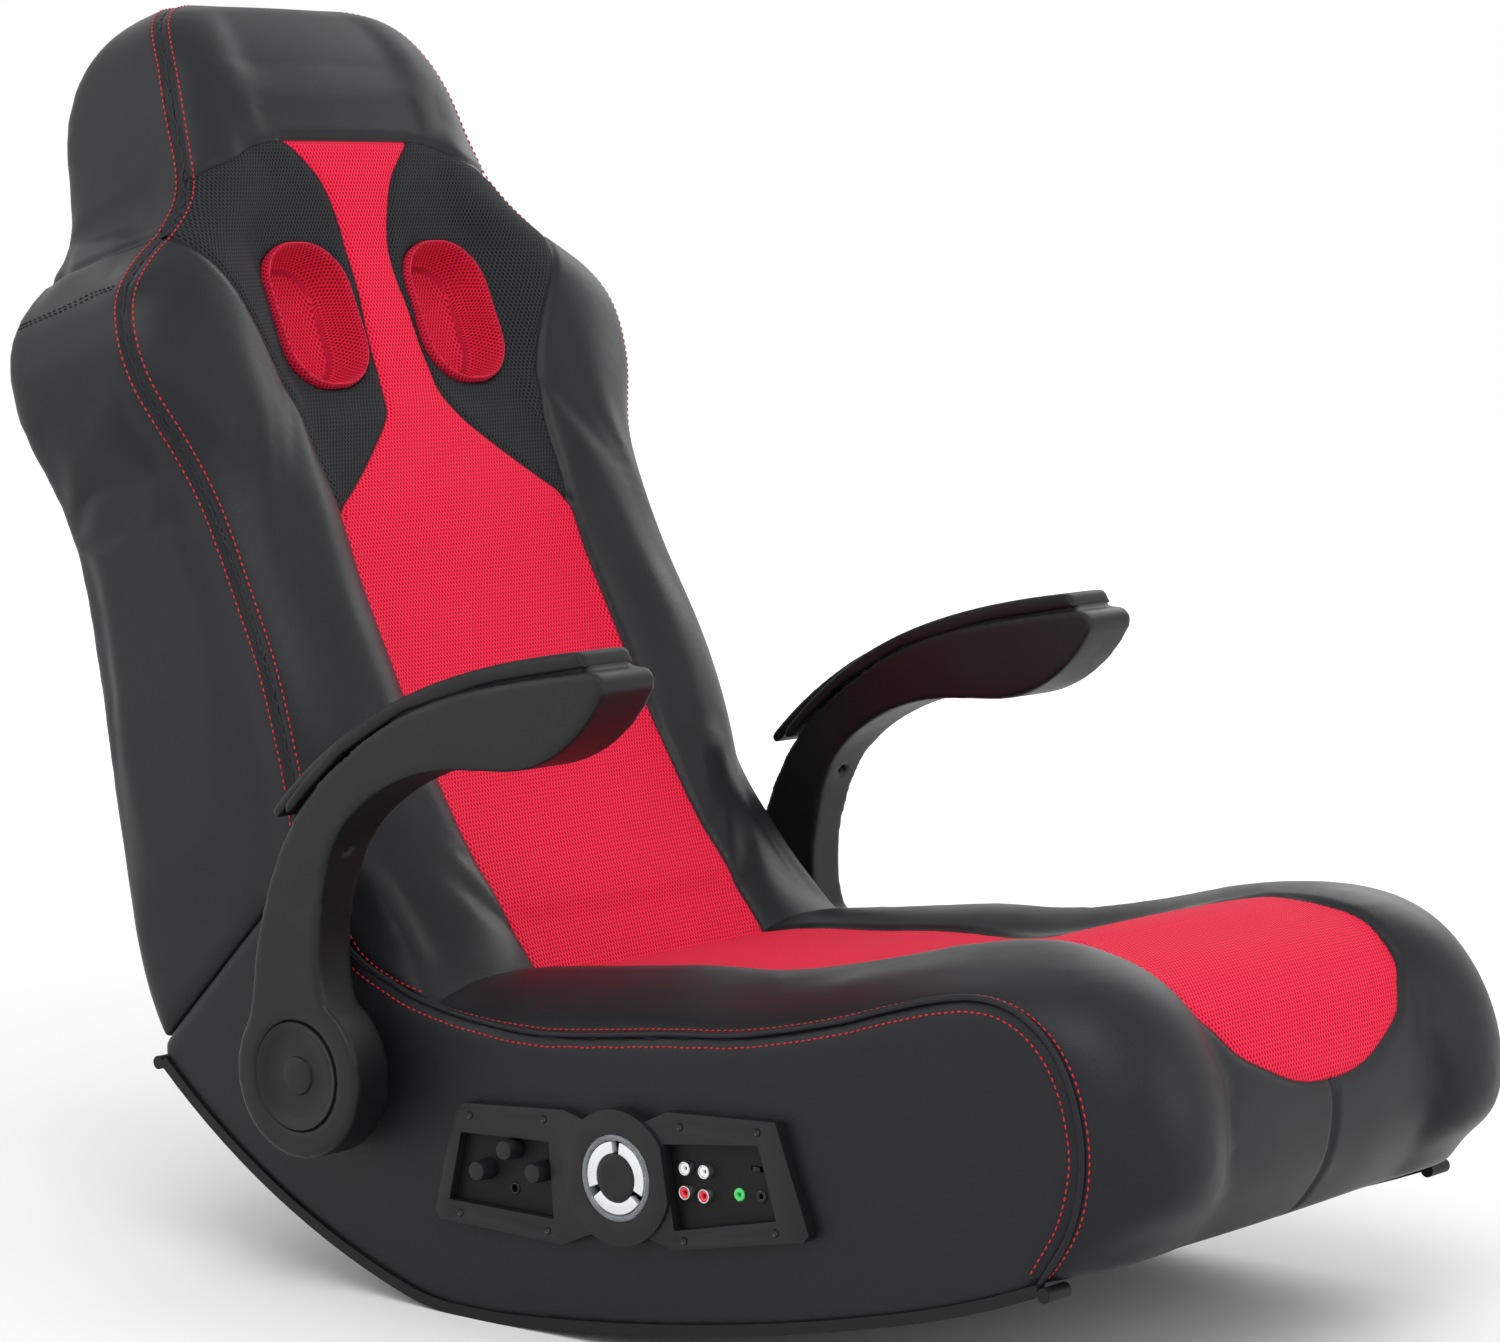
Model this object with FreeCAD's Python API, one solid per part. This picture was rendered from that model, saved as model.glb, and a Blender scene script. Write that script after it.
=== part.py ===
"""Floor rocker chair for gaming, one solid per piece.

Millimetres. X runs across the chair, -Y is the front and +Z is up. The origin lies on the floor,
under the middle of the outer box. Side tables are measured from the rocker's low point, so
side_point() moves them by LOW_POINT_Y.
"""
import math
import os

import FreeCAD, Part

Vector = FreeCAD.Vector

# Places in the side view
LOW_POINT_Y = 34.0
CLEAR = 0.3
RUN = 0.05

# Rocker edge: a short flat, then tangent arcs as (radius, slope in degrees at the far end)
FLAT_LENGTH = 30.0
FLAT_CENTRE_Y = -8.0
FRONT_ARCS = ((270.0, 4.0), (1950.0, 14.3), (800.0, 22.4))
REAR_ARCS = ((180.0, 16.5), (660.0, 41.1))
PANEL_FRONT_SLOPE = 22.0
TRIM_THICK = 3.0
TRIM_LIP = 8.0
TRIM_LIP_THICK = 3.0
TRIM_WIDTH = 24.0
TRIM_FOLD_RADIUS = 5.0

# Base
SEAT_HALF = 243.0
COVER_THICK = 1.5
BOARD_THICK = 15.0
BOARD_DROP = 28.0
CUSHION_DEPTH = 60.0
DECK_THICK = 12.0
RAIL_THICK = 18.0
BOTTOM_THICK = 3.0
CENTRE_HALF = 127.0
BOLSTER_SHARE = 0.38
GAP = 5.0
FRONT_RAIL = (-454.9, 88.0)
MIDDLE_RAIL = (-345.0, 54.0)
DECK_RAIL = (14.0, 24.0)
REAR_RAIL_Y = 150.0

# Seat seam from the nose's lower edge to the crease:
# (y, z, direction of the cushion's crown in degrees, bolster rise, middle rise)
SEAT_ROWS = (
    (-490.7, 97.5, 165, 40, 36),
    (-515.0, 138.0, 171, 47, 36),
    (-523.0, 178.8, 175, 48, 33),
    (-517.0, 217.4, 160, 44, 33),
    (-501.0, 249.0, 139, 36, 29),
    (-475.5, 269.2, 115, 27, 22),
    (-445.0, 276.4, 93, 21, 18),
    (-406.4, 271.0, 79, 22, 18),
    (-360.7, 258.0, 73, 25, 18),
    (-325.0, 246.9, 75, 27, 18),
    (-247.9, 229.6, 80, 28, 17),
    (-182.9, 222.5, 84, 29, 18),
    (-79.2, 210.3, 88, 29, 21),
    (-17.3, 211.3, 92, 22, 16),
    (30.5, 217.4, 98, 12, 2),
)
# The seam's last stretch, which the backrest sits in, as (y, z, outward direction)
CRADLE = ((65.0, 226.6, 112), (115.8, 251.0, 122))
SHOULDER_POINT = (157.5, 308.9)
REAR_CORNER = (303.8, 160.5)
DECK_LINE = ((-455.0, 214.0), (-330.0, 184.0), (-120.0, 150.0), (34.0, 150.0))

# Backrest, row by row up the front seam, cut square to the lean:
# (seam y, seam z, half width, depth to the rear, bolster rise, middle rise)
ROW_TILT = 16.0
BACK_ROWS = (
    (0.0, 185.0, 243.0, 312.0, 10, 0),
    (31.0, 217.0, 243.0, 284.0, 12, 1),
    (110.0, 251.0, 243.0, 228.0, 42, 44),
    (157.5, 309.0, 243.0, 199.0, 46, 44),
    (166.5, 350.0, 243.0, 198.0, 42, 29),
    (177.8, 392.0, 243.0, 195.0, 38, 16),
    (198.0, 446.0, 240.5, 188.0, 33, 8),
    (226.0, 500.0, 238.0, 173.0, 31, 10),
    (252.0, 555.0, 239.5, 160.0, 30, 13),
    (274.0, 601.0, 250.0, 151.0, 30, 10),
    (288.5, 640.0, 269.0, 145.0, 29, 7),
    (299.0, 670.0, 275.5, 142.0, 28, 5),
    (309.5, 700.0, 272.0, 139.0, 27, 4),
    (319.5, 722.0, 257.0, 137.0, 26, 4),
    (331.0, 745.0, 224.0, 138.0, 22, 6),
    (338.5, 768.0, 192.0, 142.0, 18, 9),
    (347.5, 792.0, 172.0, 144.0, 15, 12),
    (365.0, 830.0, 162.0, 138.0, 14, 14),
    (384.0, 874.0, 153.0, 128.0, 15, 16),
    (401.0, 900.0, 143.0, 106.0, 15, 16),
    (415.0, 916.0, 131.0, 80.0, 13, 13),
    (428.0, 926.0, 112.0, 54.0, 8, 8),
    (436.0, 930.0, 92.0, 32.0, 3, 3),
)
BACK_CENTRE_SHARE = 0.56
FOAM_DEPTH = 45.0
TRAY_WALL = 3.0
TRAY_CORNER = 16.0
HEAD_CORNER = 20.0
HEAD_ROWS = BACK_ROWS[11:]
HEAD_FRONT = (332.0, 760.0)
HEAD_REAR = (455.0, 718.0)

# Backrest hinge
HINGE_Y = 42.0
HINGE_Z = 202.0
HINGE_PIN_R = 4.0
HINGE_EYE_R = 9.0
ROLL_R = 16.5
CREASE_R = 78.0
CREASE_BACK_ANGLE = 66.0
CREASE_SEAT_ANGLE = 165.0
STRAP_THICK = 5.0
STRAP_INNER = 216.0
STRAP_HALF_WIDTH = 9.0
STRAP_LINE = ((HINGE_Y, HINGE_Z), (98.0, 264.0), (166.0, 334.0), (258.0, 438.0))
LEAF_THICK = 5.0

# Backrest frame
TUBE_R = 9.5
TUBE_WALL = 1.5
TUBE_HALF = STRAP_INNER - TUBE_R - 0.2
TUBE_LINE = ((252.0, 424.0), (366.0, 640.0), (404.0, 702.0))
BAR_R = 8.0
UPPER_BAR_Z = 626.0

# Sound parts in the backrest
POCKET_X = 77.0
POCKET_Z = 694.0
POCKET_FACE_Y = 304.0
POCKET_WIDTH = 86.0
POCKET_HEIGHT = 116.0
POCKET_CORNER = 38.0
POCKET_DEPTH = 34.0
POCKET_TAPER = 9.0
POCKET_WALL = 2.0
FRONT_LEAN = 22.8
DRIVER_R = 30.0
DRIVER_DEPTH = 26.0
SUB_HALF = 105.0
SUB_WALL = 9.0
SUB_OUTLINE = ((232.0, 350.0), (301.0, 520.0), (378.0, 520.0), (352.0, 350.0))
SUB_DRIVER_R = 52.0

# Arms
HUB = (113.0, 165.5)
HUB_R = 59.0
ARM_RUN = 9.5
ARM_STEP = 11.0
LOWER_WIDTH = 35.5
ARM_LEDGE = 10.0
ARM_INNER = SEAT_HALF + ARM_RUN
LOWER_INNER = ARM_INNER + ARM_STEP
LOWER_OUTER = LOWER_INNER + LOWER_WIDTH
ARM_OUTER = LOWER_OUTER + ARM_LEDGE
TAPER_LOW_Z = 290.0
TAPER_HIGH_Z = 415.0
BOLT_R = 8.0
BOLT_HEAD_R = 15.0
BOLT_FLANGE_R = 32.0
CAP_R = 39.0
CAP_DEPTH = 5.0
CAP_BUTTON_R = 15.0
ARM_WALL = 4.0
PAD_INSET = 2.0
ARM_SCREW = (74.0, 329.0)
ARM_SCREW_TURN = 20.0
ARM_SCREW_R = 4.0
ARM_SCREW_DEPTH = 8.0

# Control panel, on the -X side
PANEL_RISE = 11.5
BOSS_RISE = 3.0
PANEL_FACE = SEAT_HALF + PANEL_RISE
BOSS_FACE = PANEL_FACE + BOSS_RISE
BOSS = (-150.0, 122.0)
BOSS_R = 47.0
PLATE_THICK = 2.0
REAR_FRAME = ((1.2, 150.0), (-8.8, 155.0), (-100.0, 162.0), (-150.0, 150.0), (-150.0, 90.0),
              (-99.4, 67.8), (15.7, 69.6), (20.2, 74.6))
FRONT_FRAME = ((-150.0, 152.0), (-192.5, 172.5), (-285.9, 177.7), (-314.5, 105.7), (-310.1, 100.7),
               (-198.0, 78.5), (-150.0, 90.0))
REAR_WINDOW = ((-4.8, 134.0), (-86.7, 138.0), (-91.1, 84.5), (6.8, 84.5))
FRONT_WINDOW = ((-189.0, 150.1), (-271.5, 160.2), (-287.1, 111.4), (-199.0, 92.0))
SCREWS = ((-13.2, 146.8), (-82.0, 153.1), (-3.8, 76.5), (-85.5, 75.5),
          (-203.9, 163.8), (-270.8, 169.0), (-207.8, 86.5), (-286.4, 103.5))
SCREW_R = 2.6
KNOBS = ((-50.5, 128.0), (-25.0, 110.0), (-77.0, 115.5))
KNOB_R = 7.5
KNOB_LENGTH = 14.0
KNOB_SHAFT_R = 3.0
KNOB_LIFT = 0.5
POWER_INLET = (-48.9, 99.0)
INLET_R = 4.5
INLET_HOLE_R = 2.75
RCA_COLUMNS = (-206.5, -223.2)
RCA_WHITE_Z = 135.5
RCA_RED_Z = 119.0
RCA_R = 4.9
RCA_CORE_R = 3.2
RCA_LENGTH = 8.0
JACK_R = 4.5
JACK_HOLE_R = 1.75
JACK_HOLE_DEPTH = 14.0
JACK_LENGTH = 3.0
HEADPHONE_JACK = (-249.9, 123.0)
LINK_JACK = (-268.9, 124.5)
SWITCH = (-265.5, 142.7)
SWITCH_TRAVEL = 2.0
SWITCH_SIZE = (6.0, 3.0)
SWITCH_LENGTH = 4.0
DIAL_R = 30.0
DIAL_SINK = 8.0
DIAL_FLOOR = BOSS_FACE - DIAL_SINK
RING_OUT_R = 29.8
RING_IN_R = 25.5
BUTTON_OUT_R = 25.1
BUTTON_IN_R = 17.0
BUTTON_SWEEP = 104.0
BUTTON_CENTRES = (30.0, 150.0, 270.0)
BUTTON_DEPTH = 5.5
BUTTON_TRAVEL = 1.0
CENTRE_R = 16.6
AMP_DEPTH = 48.0
AMP_MARGIN = 3.0
AMP_OUTLINE = ((-292.0, 88.0), (-292.0, 136.0), (10.0, 136.0), (10.0, 88.0))


def side_point(y, z, x=0.0):
    """A point of the side view, given from the rocker's low point."""
    return Vector(x, y + LOW_POINT_Y, z)


def save(name, *solids):
    """Write one node; more than one solid stay separate."""
    shape = solids[0] if len(solids) == 1 else Part.makeCompound(list(solids))
    shape.exportStep("parts/" + name + ".step")


def mirrored(shape):
    return shape.mirror(Vector(0, 0, 0), Vector(1, 0, 0))


def save_pair(name, shape):
    """Write a piece of the +X side and its mirror image."""
    save(name + "_left", shape)
    save(name + "_right", mirrored(shape))


def polygon(points):
    corners = [side_point(y, z) for y, z in points]
    return Part.Wire(Part.makePolygon(corners + corners[:1]).Edges)


def extruded(wire, x_low, x_high):
    """A closed side-view wire, made solid from x_low to x_high."""
    face = Part.Face(wire)
    solid = face.extrude(Vector(x_high - x_low, 0, 0))
    solid.translate(Vector(x_low, 0, 0))
    return solid


def rod(y, z, radius, x_low, x_high):
    """A cylinder along X through a side-view point."""
    return Part.makeCylinder(radius, x_high - x_low, side_point(y, z, x_low), Vector(1, 0, 0))


def turned_rod(y, z, radius, length, degrees, x):
    """A cylinder in the side plane that starts at a point and runs at an angle to +Y."""
    angle = math.radians(degrees)
    return Part.makeCylinder(radius, length, side_point(y, z, x), Vector(0, math.cos(angle), math.sin(angle)))


def polar(centre, radius, degrees):
    angle = math.radians(degrees)
    return (centre[0] + radius * math.cos(angle), centre[1] + radius * math.sin(angle))


def arc_chain(start_y, arcs, way, inset, last_slope):
    """Edges of tangent arcs that leave the flat; way is -1 for the front and 1 for the rear."""
    edges = []
    slope = 0.0
    centre_y = start_y
    centre_z = arcs[0][0]
    for number, (radius, end_slope) in enumerate(arcs):
        if number == len(arcs) - 1:
            end_slope = last_slope
        points = []
        for share in (0.0, 0.5, 1.0):
            angle = math.radians(slope + (end_slope - slope) * share)
            reach = radius - inset
            points.append(side_point(centre_y + way * reach * math.sin(angle),
                                     centre_z - reach * math.cos(angle)))
        edges.append(Part.Arc(*points).toShape())
        slope = end_slope
        if number < len(arcs) - 1:
            change = arcs[number + 1][0] - radius
            centre_y -= way * change * math.sin(math.radians(slope))
            centre_z += change * math.cos(math.radians(slope))
    return edges


def rocker_edges(inset, front_slope, rear_slope):
    """The rocker's edge from front to rear, moved up by inset."""
    front_y = FLAT_CENTRE_Y - FLAT_LENGTH / 2
    rear_y = FLAT_CENTRE_Y + FLAT_LENGTH / 2
    front = arc_chain(front_y, FRONT_ARCS, -1, inset, front_slope)
    rear = arc_chain(rear_y, REAR_ARCS, 1, inset, rear_slope)
    flat = Part.LineSegment(side_point(front_y, inset), side_point(rear_y, inset)).toShape()
    return front[::-1] + [flat] + rear


def ends(edges):
    """The frontmost and rearmost points of a row of edges."""
    points = [v.Point for edge in edges for v in edge.Vertexes]
    return min(points, key=lambda p: p.y), max(points, key=lambda p: p.y)


def seam_points(inset):
    """The seat's side seam from nose to cradle, drawn in by inset."""
    rows = [row[:3] for row in SEAT_ROWS] + list(CRADLE)
    return [side_point(*polar((y, z), -inset, lean)) for y, z, lean in rows]


def gap_point(point, along, inwards):
    """A point of the slanted parting line, moved along it and into the base."""
    step = math.sqrt(0.5)
    return side_point(point[0] + (along - inwards) * step, point[1] - (along + inwards) * step)


def base_profile(seam_inset, edge_inset, gap_inset):
    """Closed side outline of the base."""
    edge = rocker_edges(edge_inset, PANEL_FRONT_SLOPE, REAR_ARCS[-1][1])
    edge_front, edge_rear = ends(edge)
    top = gap_point(SHOULDER_POINT, seam_inset, gap_inset)
    corner = gap_point(REAR_CORNER, 0.0, gap_inset)
    seam = seam_points(seam_inset) + [top]
    curve = Part.BSplineCurve()
    curve.interpolate(seam)
    lines = [Part.makeLine(top, corner), Part.makeLine(corner, edge_rear), Part.makeLine(edge_front, seam[0])]
    return Part.Wire(Part.__sortEdges__([curve.toShape()] + lines + edge))


def crowned_wire(place, half, base, bolster, middle, centre_half):
    """Cushion section: flat base, upright sides, bolster arcs and a slightly crowned middle.

    place turns (x, rise) into a point. The seam is at rise 0.
    """
    bolster_x = half - BOLSTER_SHARE * (half - centre_half)
    edges = [
        Part.makeLine(place(-half, 0), place(-half, -base)),
        Part.makeLine(place(-half, -base), place(half, -base)),
        Part.makeLine(place(half, -base), place(half, 0)),
        Part.Arc(place(half, 0), place(bolster_x, bolster), place(centre_half, middle)).toShape(),
        Part.Arc(place(centre_half, middle), place(0, middle + 2), place(-centre_half, middle)).toShape(),
        Part.Arc(place(-centre_half, middle), place(-bolster_x, bolster), place(-half, 0)).toShape(),
    ]
    return Part.Wire(edges)


def board_space(grow):
    """Room for a rocker board on the +X side, with grow to spare."""
    profile = base_profile(BOARD_DROP - grow, TRIM_THICK - grow, GAP - grow)
    return extruded(profile, SEAT_HALF - BOARD_THICK - grow, SEAT_HALF + COVER_THICK)


def hinge_rod(radius, half):
    return rod(HINGE_Y, HINGE_Z, radius, -half, half)


def crease_wedge(from_degrees, to_degrees):
    """Room round the hinge axis that a cushion leaves free for the fold."""
    axis = (HINGE_Y, HINGE_Z)
    middle = (from_degrees + to_degrees) / 2
    reach = CREASE_R / math.cos(math.radians((to_degrees - from_degrees) / 4))
    corners = [axis, polar(axis, CREASE_R, from_degrees), polar(axis, reach, (from_degrees + middle) / 2),
               polar(axis, CREASE_R, middle), polar(axis, reach, (middle + to_degrees) / 2),
               polar(axis, CREASE_R, to_degrees)]
    return extruded(polygon(corners), -SEAT_HALF - 60, SEAT_HALF + 60)


def deck_points(drop):
    """The deck's upper line, moved down by drop."""
    return [(y, z - drop) for y, z in DECK_LINE]


def under_deck():
    """Everything that lies behind the front rail and below the deck."""
    front = DECK_LINE[0][0] - CLEAR
    points = [(front, -20.0), (front, DECK_LINE[0][1] + CLEAR)]
    points += [(y, z + CLEAR) for y, z in DECK_LINE[1:]]
    points += [(DECK_LINE[-1][0], -20.0)]
    return extruded(polygon(points), -SEAT_HALF - 5, SEAT_HALF + 5)


def make_seat_cushion():
    wires = []
    for y, z, lean, bolster, middle in SEAT_ROWS:
        def place(x, rise, y=y, z=z, lean=lean):
            return side_point(*polar((y, z), rise, lean), x)
        wires.append(crowned_wire(place, SEAT_HALF, CUSHION_DEPTH, bolster, middle, CENTRE_HALF))
    cushion = Part.makeLoft(wires, True, False)
    board = board_space(CLEAR)
    leaf = hinge_leaf(1.0)
    for tool in (under_deck(), board, mirrored(board), leaf, mirrored(leaf)):
        cushion = cushion.cut(tool)
    cushion = cushion.cut(crease_wedge(CREASE_BACK_ANGLE - 60.0, CREASE_SEAT_ANGLE))
    return cushion.cut(hinge_rod(ROLL_R + 1.0, SEAT_HALF + 5)).Solids[0]


def make_board(openings):
    board = extruded(base_profile(BOARD_DROP, TRIM_THICK + 0.2, GAP), SEAT_HALF - BOARD_THICK, SEAT_HALF)
    board = board.cut(rod(*HUB, BOLT_R + 0.1, SEAT_HALF - 30, SEAT_HALF + 10))
    return board.cut(openings) if openings else board


def make_cover(openings):
    cover = extruded(base_profile(0.5, TRIM_THICK + 0.2, 1.0), SEAT_HALF + CLEAR, SEAT_HALF + CLEAR + COVER_THICK)
    cover = cover.cut(rod(*HUB, BOLT_R + 0.1, SEAT_HALF - 30, SEAT_HALF + 10))
    return cover.cut(openings) if openings else cover


def edge_strip(low, high, x_low, x_high):
    """A strip along the rocker's edge between two insets."""
    outer = rocker_edges(low, FRONT_ARCS[-1][1], REAR_ARCS[-1][1])
    inner = rocker_edges(high, FRONT_ARCS[-1][1], REAR_ARCS[-1][1])
    outer_front, outer_rear = ends(outer)
    inner_front, inner_rear = ends(inner)
    lines = [Part.makeLine(outer_front, inner_front), Part.makeLine(outer_rear, inner_rear)]
    return extruded(Part.Wire(Part.__sortEdges__(outer + inner + lines)), x_low, x_high)


def make_trim():
    skin = SEAT_HALF + CLEAR + COVER_THICK
    sole = edge_strip(0.0, TRIM_THICK, skin + TRIM_LIP_THICK - TRIM_WIDTH, skin + TRIM_LIP_THICK)
    lip = edge_strip(0.0, TRIM_LIP, skin + 0.1, skin + TRIM_LIP_THICK)
    trim = sole.fuse(lip)
    front, rear = ends(rocker_edges(TRIM_THICK, FRONT_ARCS[-1][1], REAR_ARCS[-1][1]))
    for point, way in ((front, -1), (rear, 1)):
        start = Vector(skin + TRIM_LIP_THICK - TRIM_WIDTH, point.y + way * TRIM_FOLD_RADIUS * 0.9, point.z - 1.5)
        fold = Part.makeCylinder(TRIM_FOLD_RADIUS, TRIM_WIDTH, start, Vector(1, 0, 0))
        trim = trim.fuse(fold)
    return trim.removeSplitter().Solids[0]


def make_deck():
    points = deck_points(0.0) + deck_points(DECK_THICK)[::-1]
    half = SEAT_HALF - BOARD_THICK - 0.1
    return extruded(polygon(points), -half, half)


def deck_height(y):
    """Height of the deck's upper face at y."""
    for (y0, z0), (y1, z1) in zip(DECK_LINE[:-1], DECK_LINE[1:]):
        if y <= y1:
            return z0 + (z1 - z0) * (y - y0) / (y1 - y0)
    return DECK_LINE[-1][1]


def deck_rail(y, z_low):
    """A cross rail with its top against the deck's underside."""
    half = SEAT_HALF - BOARD_THICK - 0.1
    drop = DECK_THICK + 0.2
    rear = y + RAIL_THICK
    points = ((y, z_low), (y, deck_height(y) - drop), (rear, deck_height(rear) - drop), (rear, z_low))
    return extruded(polygon(points), -half, half)


def make_rear_rail():
    half = SEAT_HALF - BOARD_THICK - 0.1
    y = REAR_RAIL_Y
    points = ((y, 60.0), (y, 240.0), (y + RAIL_THICK, 240.0), (y + RAIL_THICK, 60.0))
    return extruded(polygon(points), -half, half)


def make_bottom_panel():
    """Curved bottom sheet between the rocker boards."""
    half = SEAT_HALF - BOARD_THICK - 0.3
    low = TRIM_THICK + 0.2
    outer = rocker_edges(low, 17.0, 38.0)
    inner = rocker_edges(low + BOTTOM_THICK, 17.0, 38.0)
    outer_front, outer_rear = ends(outer)
    inner_front, inner_rear = ends(inner)
    lines = [Part.makeLine(outer_front, inner_front), Part.makeLine(outer_rear, inner_rear)]
    return extruded(Part.Wire(Part.__sortEdges__(outer + inner + lines)), -half, half)


def hinge_leaf(grow):
    """Plate on the rocker board's inner face that rises to the hinge axis."""
    board_face = SEAT_HALF - BOARD_THICK - 0.1 + grow
    inner = board_face - LEAF_THICK - 2 * grow
    eye = HINGE_EYE_R + grow
    foot = 22.0 + grow
    low = DECK_LINE[-1][1] + 4.0
    points = ((HINGE_Y - eye, HINGE_Z), (HINGE_Y - foot, low), (HINGE_Y + foot, low), (HINGE_Y + eye, HINGE_Z))
    leaf = extruded(polygon(points), inner, board_face)
    return leaf.fuse(rod(HINGE_Y, HINGE_Z, eye, inner, board_face))


def make_seat_hinge():
    """Leaf with the pin that the backrest turns on."""
    inner = SEAT_HALF - BOARD_THICK - 0.1 - LEAF_THICK
    pin = rod(HINGE_Y, HINGE_Z, HINGE_PIN_R, STRAP_INNER - 6, inner)
    return hinge_leaf(0.0).fuse(pin).removeSplitter().Solids[0]


def make_crease_roll():
    """Round filler under the fold, in line with the hinge axis."""
    half = STRAP_INNER - 8.0
    return hinge_rod(ROLL_R, half)


def band(line, half_width):
    """Outline of a strap of constant width round an open side-view line."""
    left = []
    right = []
    for number, (y, z) in enumerate(line):
        before = line[max(number - 1, 0)]
        after = line[min(number + 1, len(line) - 1)]
        length = math.hypot(after[0] - before[0], after[1] - before[1])
        across = (-(after[1] - before[1]) / length, (after[0] - before[0]) / length)
        left.append((y + across[0] * half_width, z + across[1] * half_width))
        right.append((y - across[0] * half_width, z - across[1] * half_width))
    return left + right[::-1]


def strap_solid(half_width, x_low, x_high, eye):
    strap = extruded(polygon(band(STRAP_LINE, half_width)), x_low, x_high)
    return strap.fuse(rod(HINGE_Y, HINGE_Z, eye, x_low, x_high)).removeSplitter()


def make_back_hinge():
    strap = strap_solid(STRAP_HALF_WIDTH, STRAP_INNER, STRAP_INNER + STRAP_THICK, HINGE_EYE_R)
    bore = rod(HINGE_Y, HINGE_Z, HINGE_PIN_R + RUN, STRAP_INNER - 10, STRAP_INNER + 10)
    return strap.cut(bore).Solids[0]


def base_room():
    """All that belongs to the base under the seam and the parting line."""
    seam = seam_points(-1.0)
    top = gap_point(SHOULDER_POINT, 0.0, 0.0)
    corner = gap_point(REAR_CORNER, 60.0, 0.0)
    curve = Part.BSplineCurve()
    curve.interpolate(seam[10:] + [top])
    far = [corner, side_point(REAR_CORNER[0] + 60, -60.0), Vector(0, seam[10].y, -60.0)]
    lines = [Part.makeLine(top, corner), Part.makeLine(corner, far[1]), Part.makeLine(far[1], far[2]),
             Part.makeLine(far[2], seam[10])]
    return extruded(Part.Wire(Part.__sortEdges__([curve.toShape()] + lines)), -400.0, 400.0)


def row_point(seam_y, seam_z, x, behind):
    """A point of a backrest row, at a distance behind its seam."""
    tilt = math.radians(ROW_TILT)
    return side_point(seam_y + behind * math.cos(tilt), seam_z - behind * math.sin(tilt), x)


def back_loft():
    wires = []
    for seam_y, seam_z, half, depth, bolster, middle in BACK_ROWS:
        def place(x, rise, seam_y=seam_y, seam_z=seam_z):
            return row_point(seam_y, seam_z, x, -rise)
        centre = min(CENTRE_HALF, BACK_CENTRE_SHARE * half)
        wires.append(crowned_wire(place, half, FOAM_DEPTH, bolster, middle, centre))
    return Part.makeLoft(wires, True, False)


def tray_wire(place, half, front, rear, corner):
    """Back cover section: rectangle with round rear corners; place turns (x, behind) into a point."""
    bend = corner * (1 - math.sqrt(0.5))
    edges = [
        Part.makeLine(place(-half, rear - corner), place(-half, front)),
        Part.makeLine(place(-half, front), place(half, front)),
        Part.makeLine(place(half, front), place(half, rear - corner)),
        Part.Arc(place(half, rear - corner), place(half - bend, rear - bend), place(half - corner, rear)).toShape(),
        Part.makeLine(place(half - corner, rear), place(corner - half, rear)),
        Part.Arc(place(corner - half, rear), place(bend - half, rear - bend), place(-half, rear - corner)).toShape(),
    ]
    return Part.Wire(edges)


def tray_loft(wall, front):
    """Solid behind the foam, drawn in by wall; front is where it starts behind the seam."""
    wires = []
    for seam_y, seam_z, half, depth, _, _ in BACK_ROWS:
        def place(x, behind, seam_y=seam_y, seam_z=seam_z):
            return row_point(seam_y, seam_z, x, behind)
        rear = max(depth, FOAM_DEPTH + 12.0)
        corner = min(TRAY_CORNER, 0.4 * (rear - FOAM_DEPTH))
        wires.append(tray_wire(place, half - wall, front, rear - wall, corner - wall))
    return Part.makeLoft(wires, True, False)


def above_head_seam(lift):
    """Space over the slanted seam between shoulders and head."""
    slope = (HEAD_REAR[1] - HEAD_FRONT[1]) / (HEAD_REAR[0] - HEAD_FRONT[0])
    front = HEAD_FRONT[0] - 200.0
    rear = HEAD_REAR[0] + 200.0
    low_front = HEAD_FRONT[1] + slope * (front - HEAD_FRONT[0]) + lift
    low_rear = HEAD_FRONT[1] + slope * (rear - HEAD_FRONT[0]) + lift
    points = ((front, low_front), (front, 1200.0), (rear, 1200.0), (rear, low_rear))
    return extruded(polygon(points), -400.0, 400.0)


def pocket_wire(depth, grow):
    """Round-cornered outline of a speaker pocket on the +X side, at a depth behind the face."""
    half_w = POCKET_WIDTH / 2 - POCKET_TAPER * depth / POCKET_DEPTH + grow
    half_h = POCKET_HEIGHT / 2 - POCKET_TAPER * depth / POCKET_DEPTH + grow
    corner = min(POCKET_CORNER, half_w - 2.0)
    lean = math.radians(FRONT_LEAN)
    def spot(u, v):
        y = POCKET_FACE_Y + v * math.sin(lean) + depth * math.cos(lean)
        z = POCKET_Z + v * math.cos(lean) - depth * math.sin(lean)
        return side_point(y, z, POCKET_X + u)
    edges = []
    bend = corner * (1 - math.sqrt(0.5))
    signs = ((1, 1), (-1, 1), (-1, -1), (1, -1))
    for number, (su, sv) in enumerate(signs):
        if su * sv > 0:
            start = spot(su * half_w, sv * (half_h - corner))
            end = spot(su * (half_w - corner), sv * half_h)
        else:
            start = spot(su * (half_w - corner), sv * half_h)
            end = spot(su * half_w, sv * (half_h - corner))
        edges.append(Part.Arc(start, spot(su * (half_w - bend), sv * (half_h - bend)), end).toShape())
        nu, nv = signs[(number + 1) % 4]
        if su == nu:
            join = spot(nu * half_w, nv * (half_h - corner))
        else:
            join = spot(nu * (half_w - corner), nv * half_h)
        edges.append(Part.makeLine(end, join))
    return Part.Wire(Part.__sortEdges__(edges))


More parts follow.
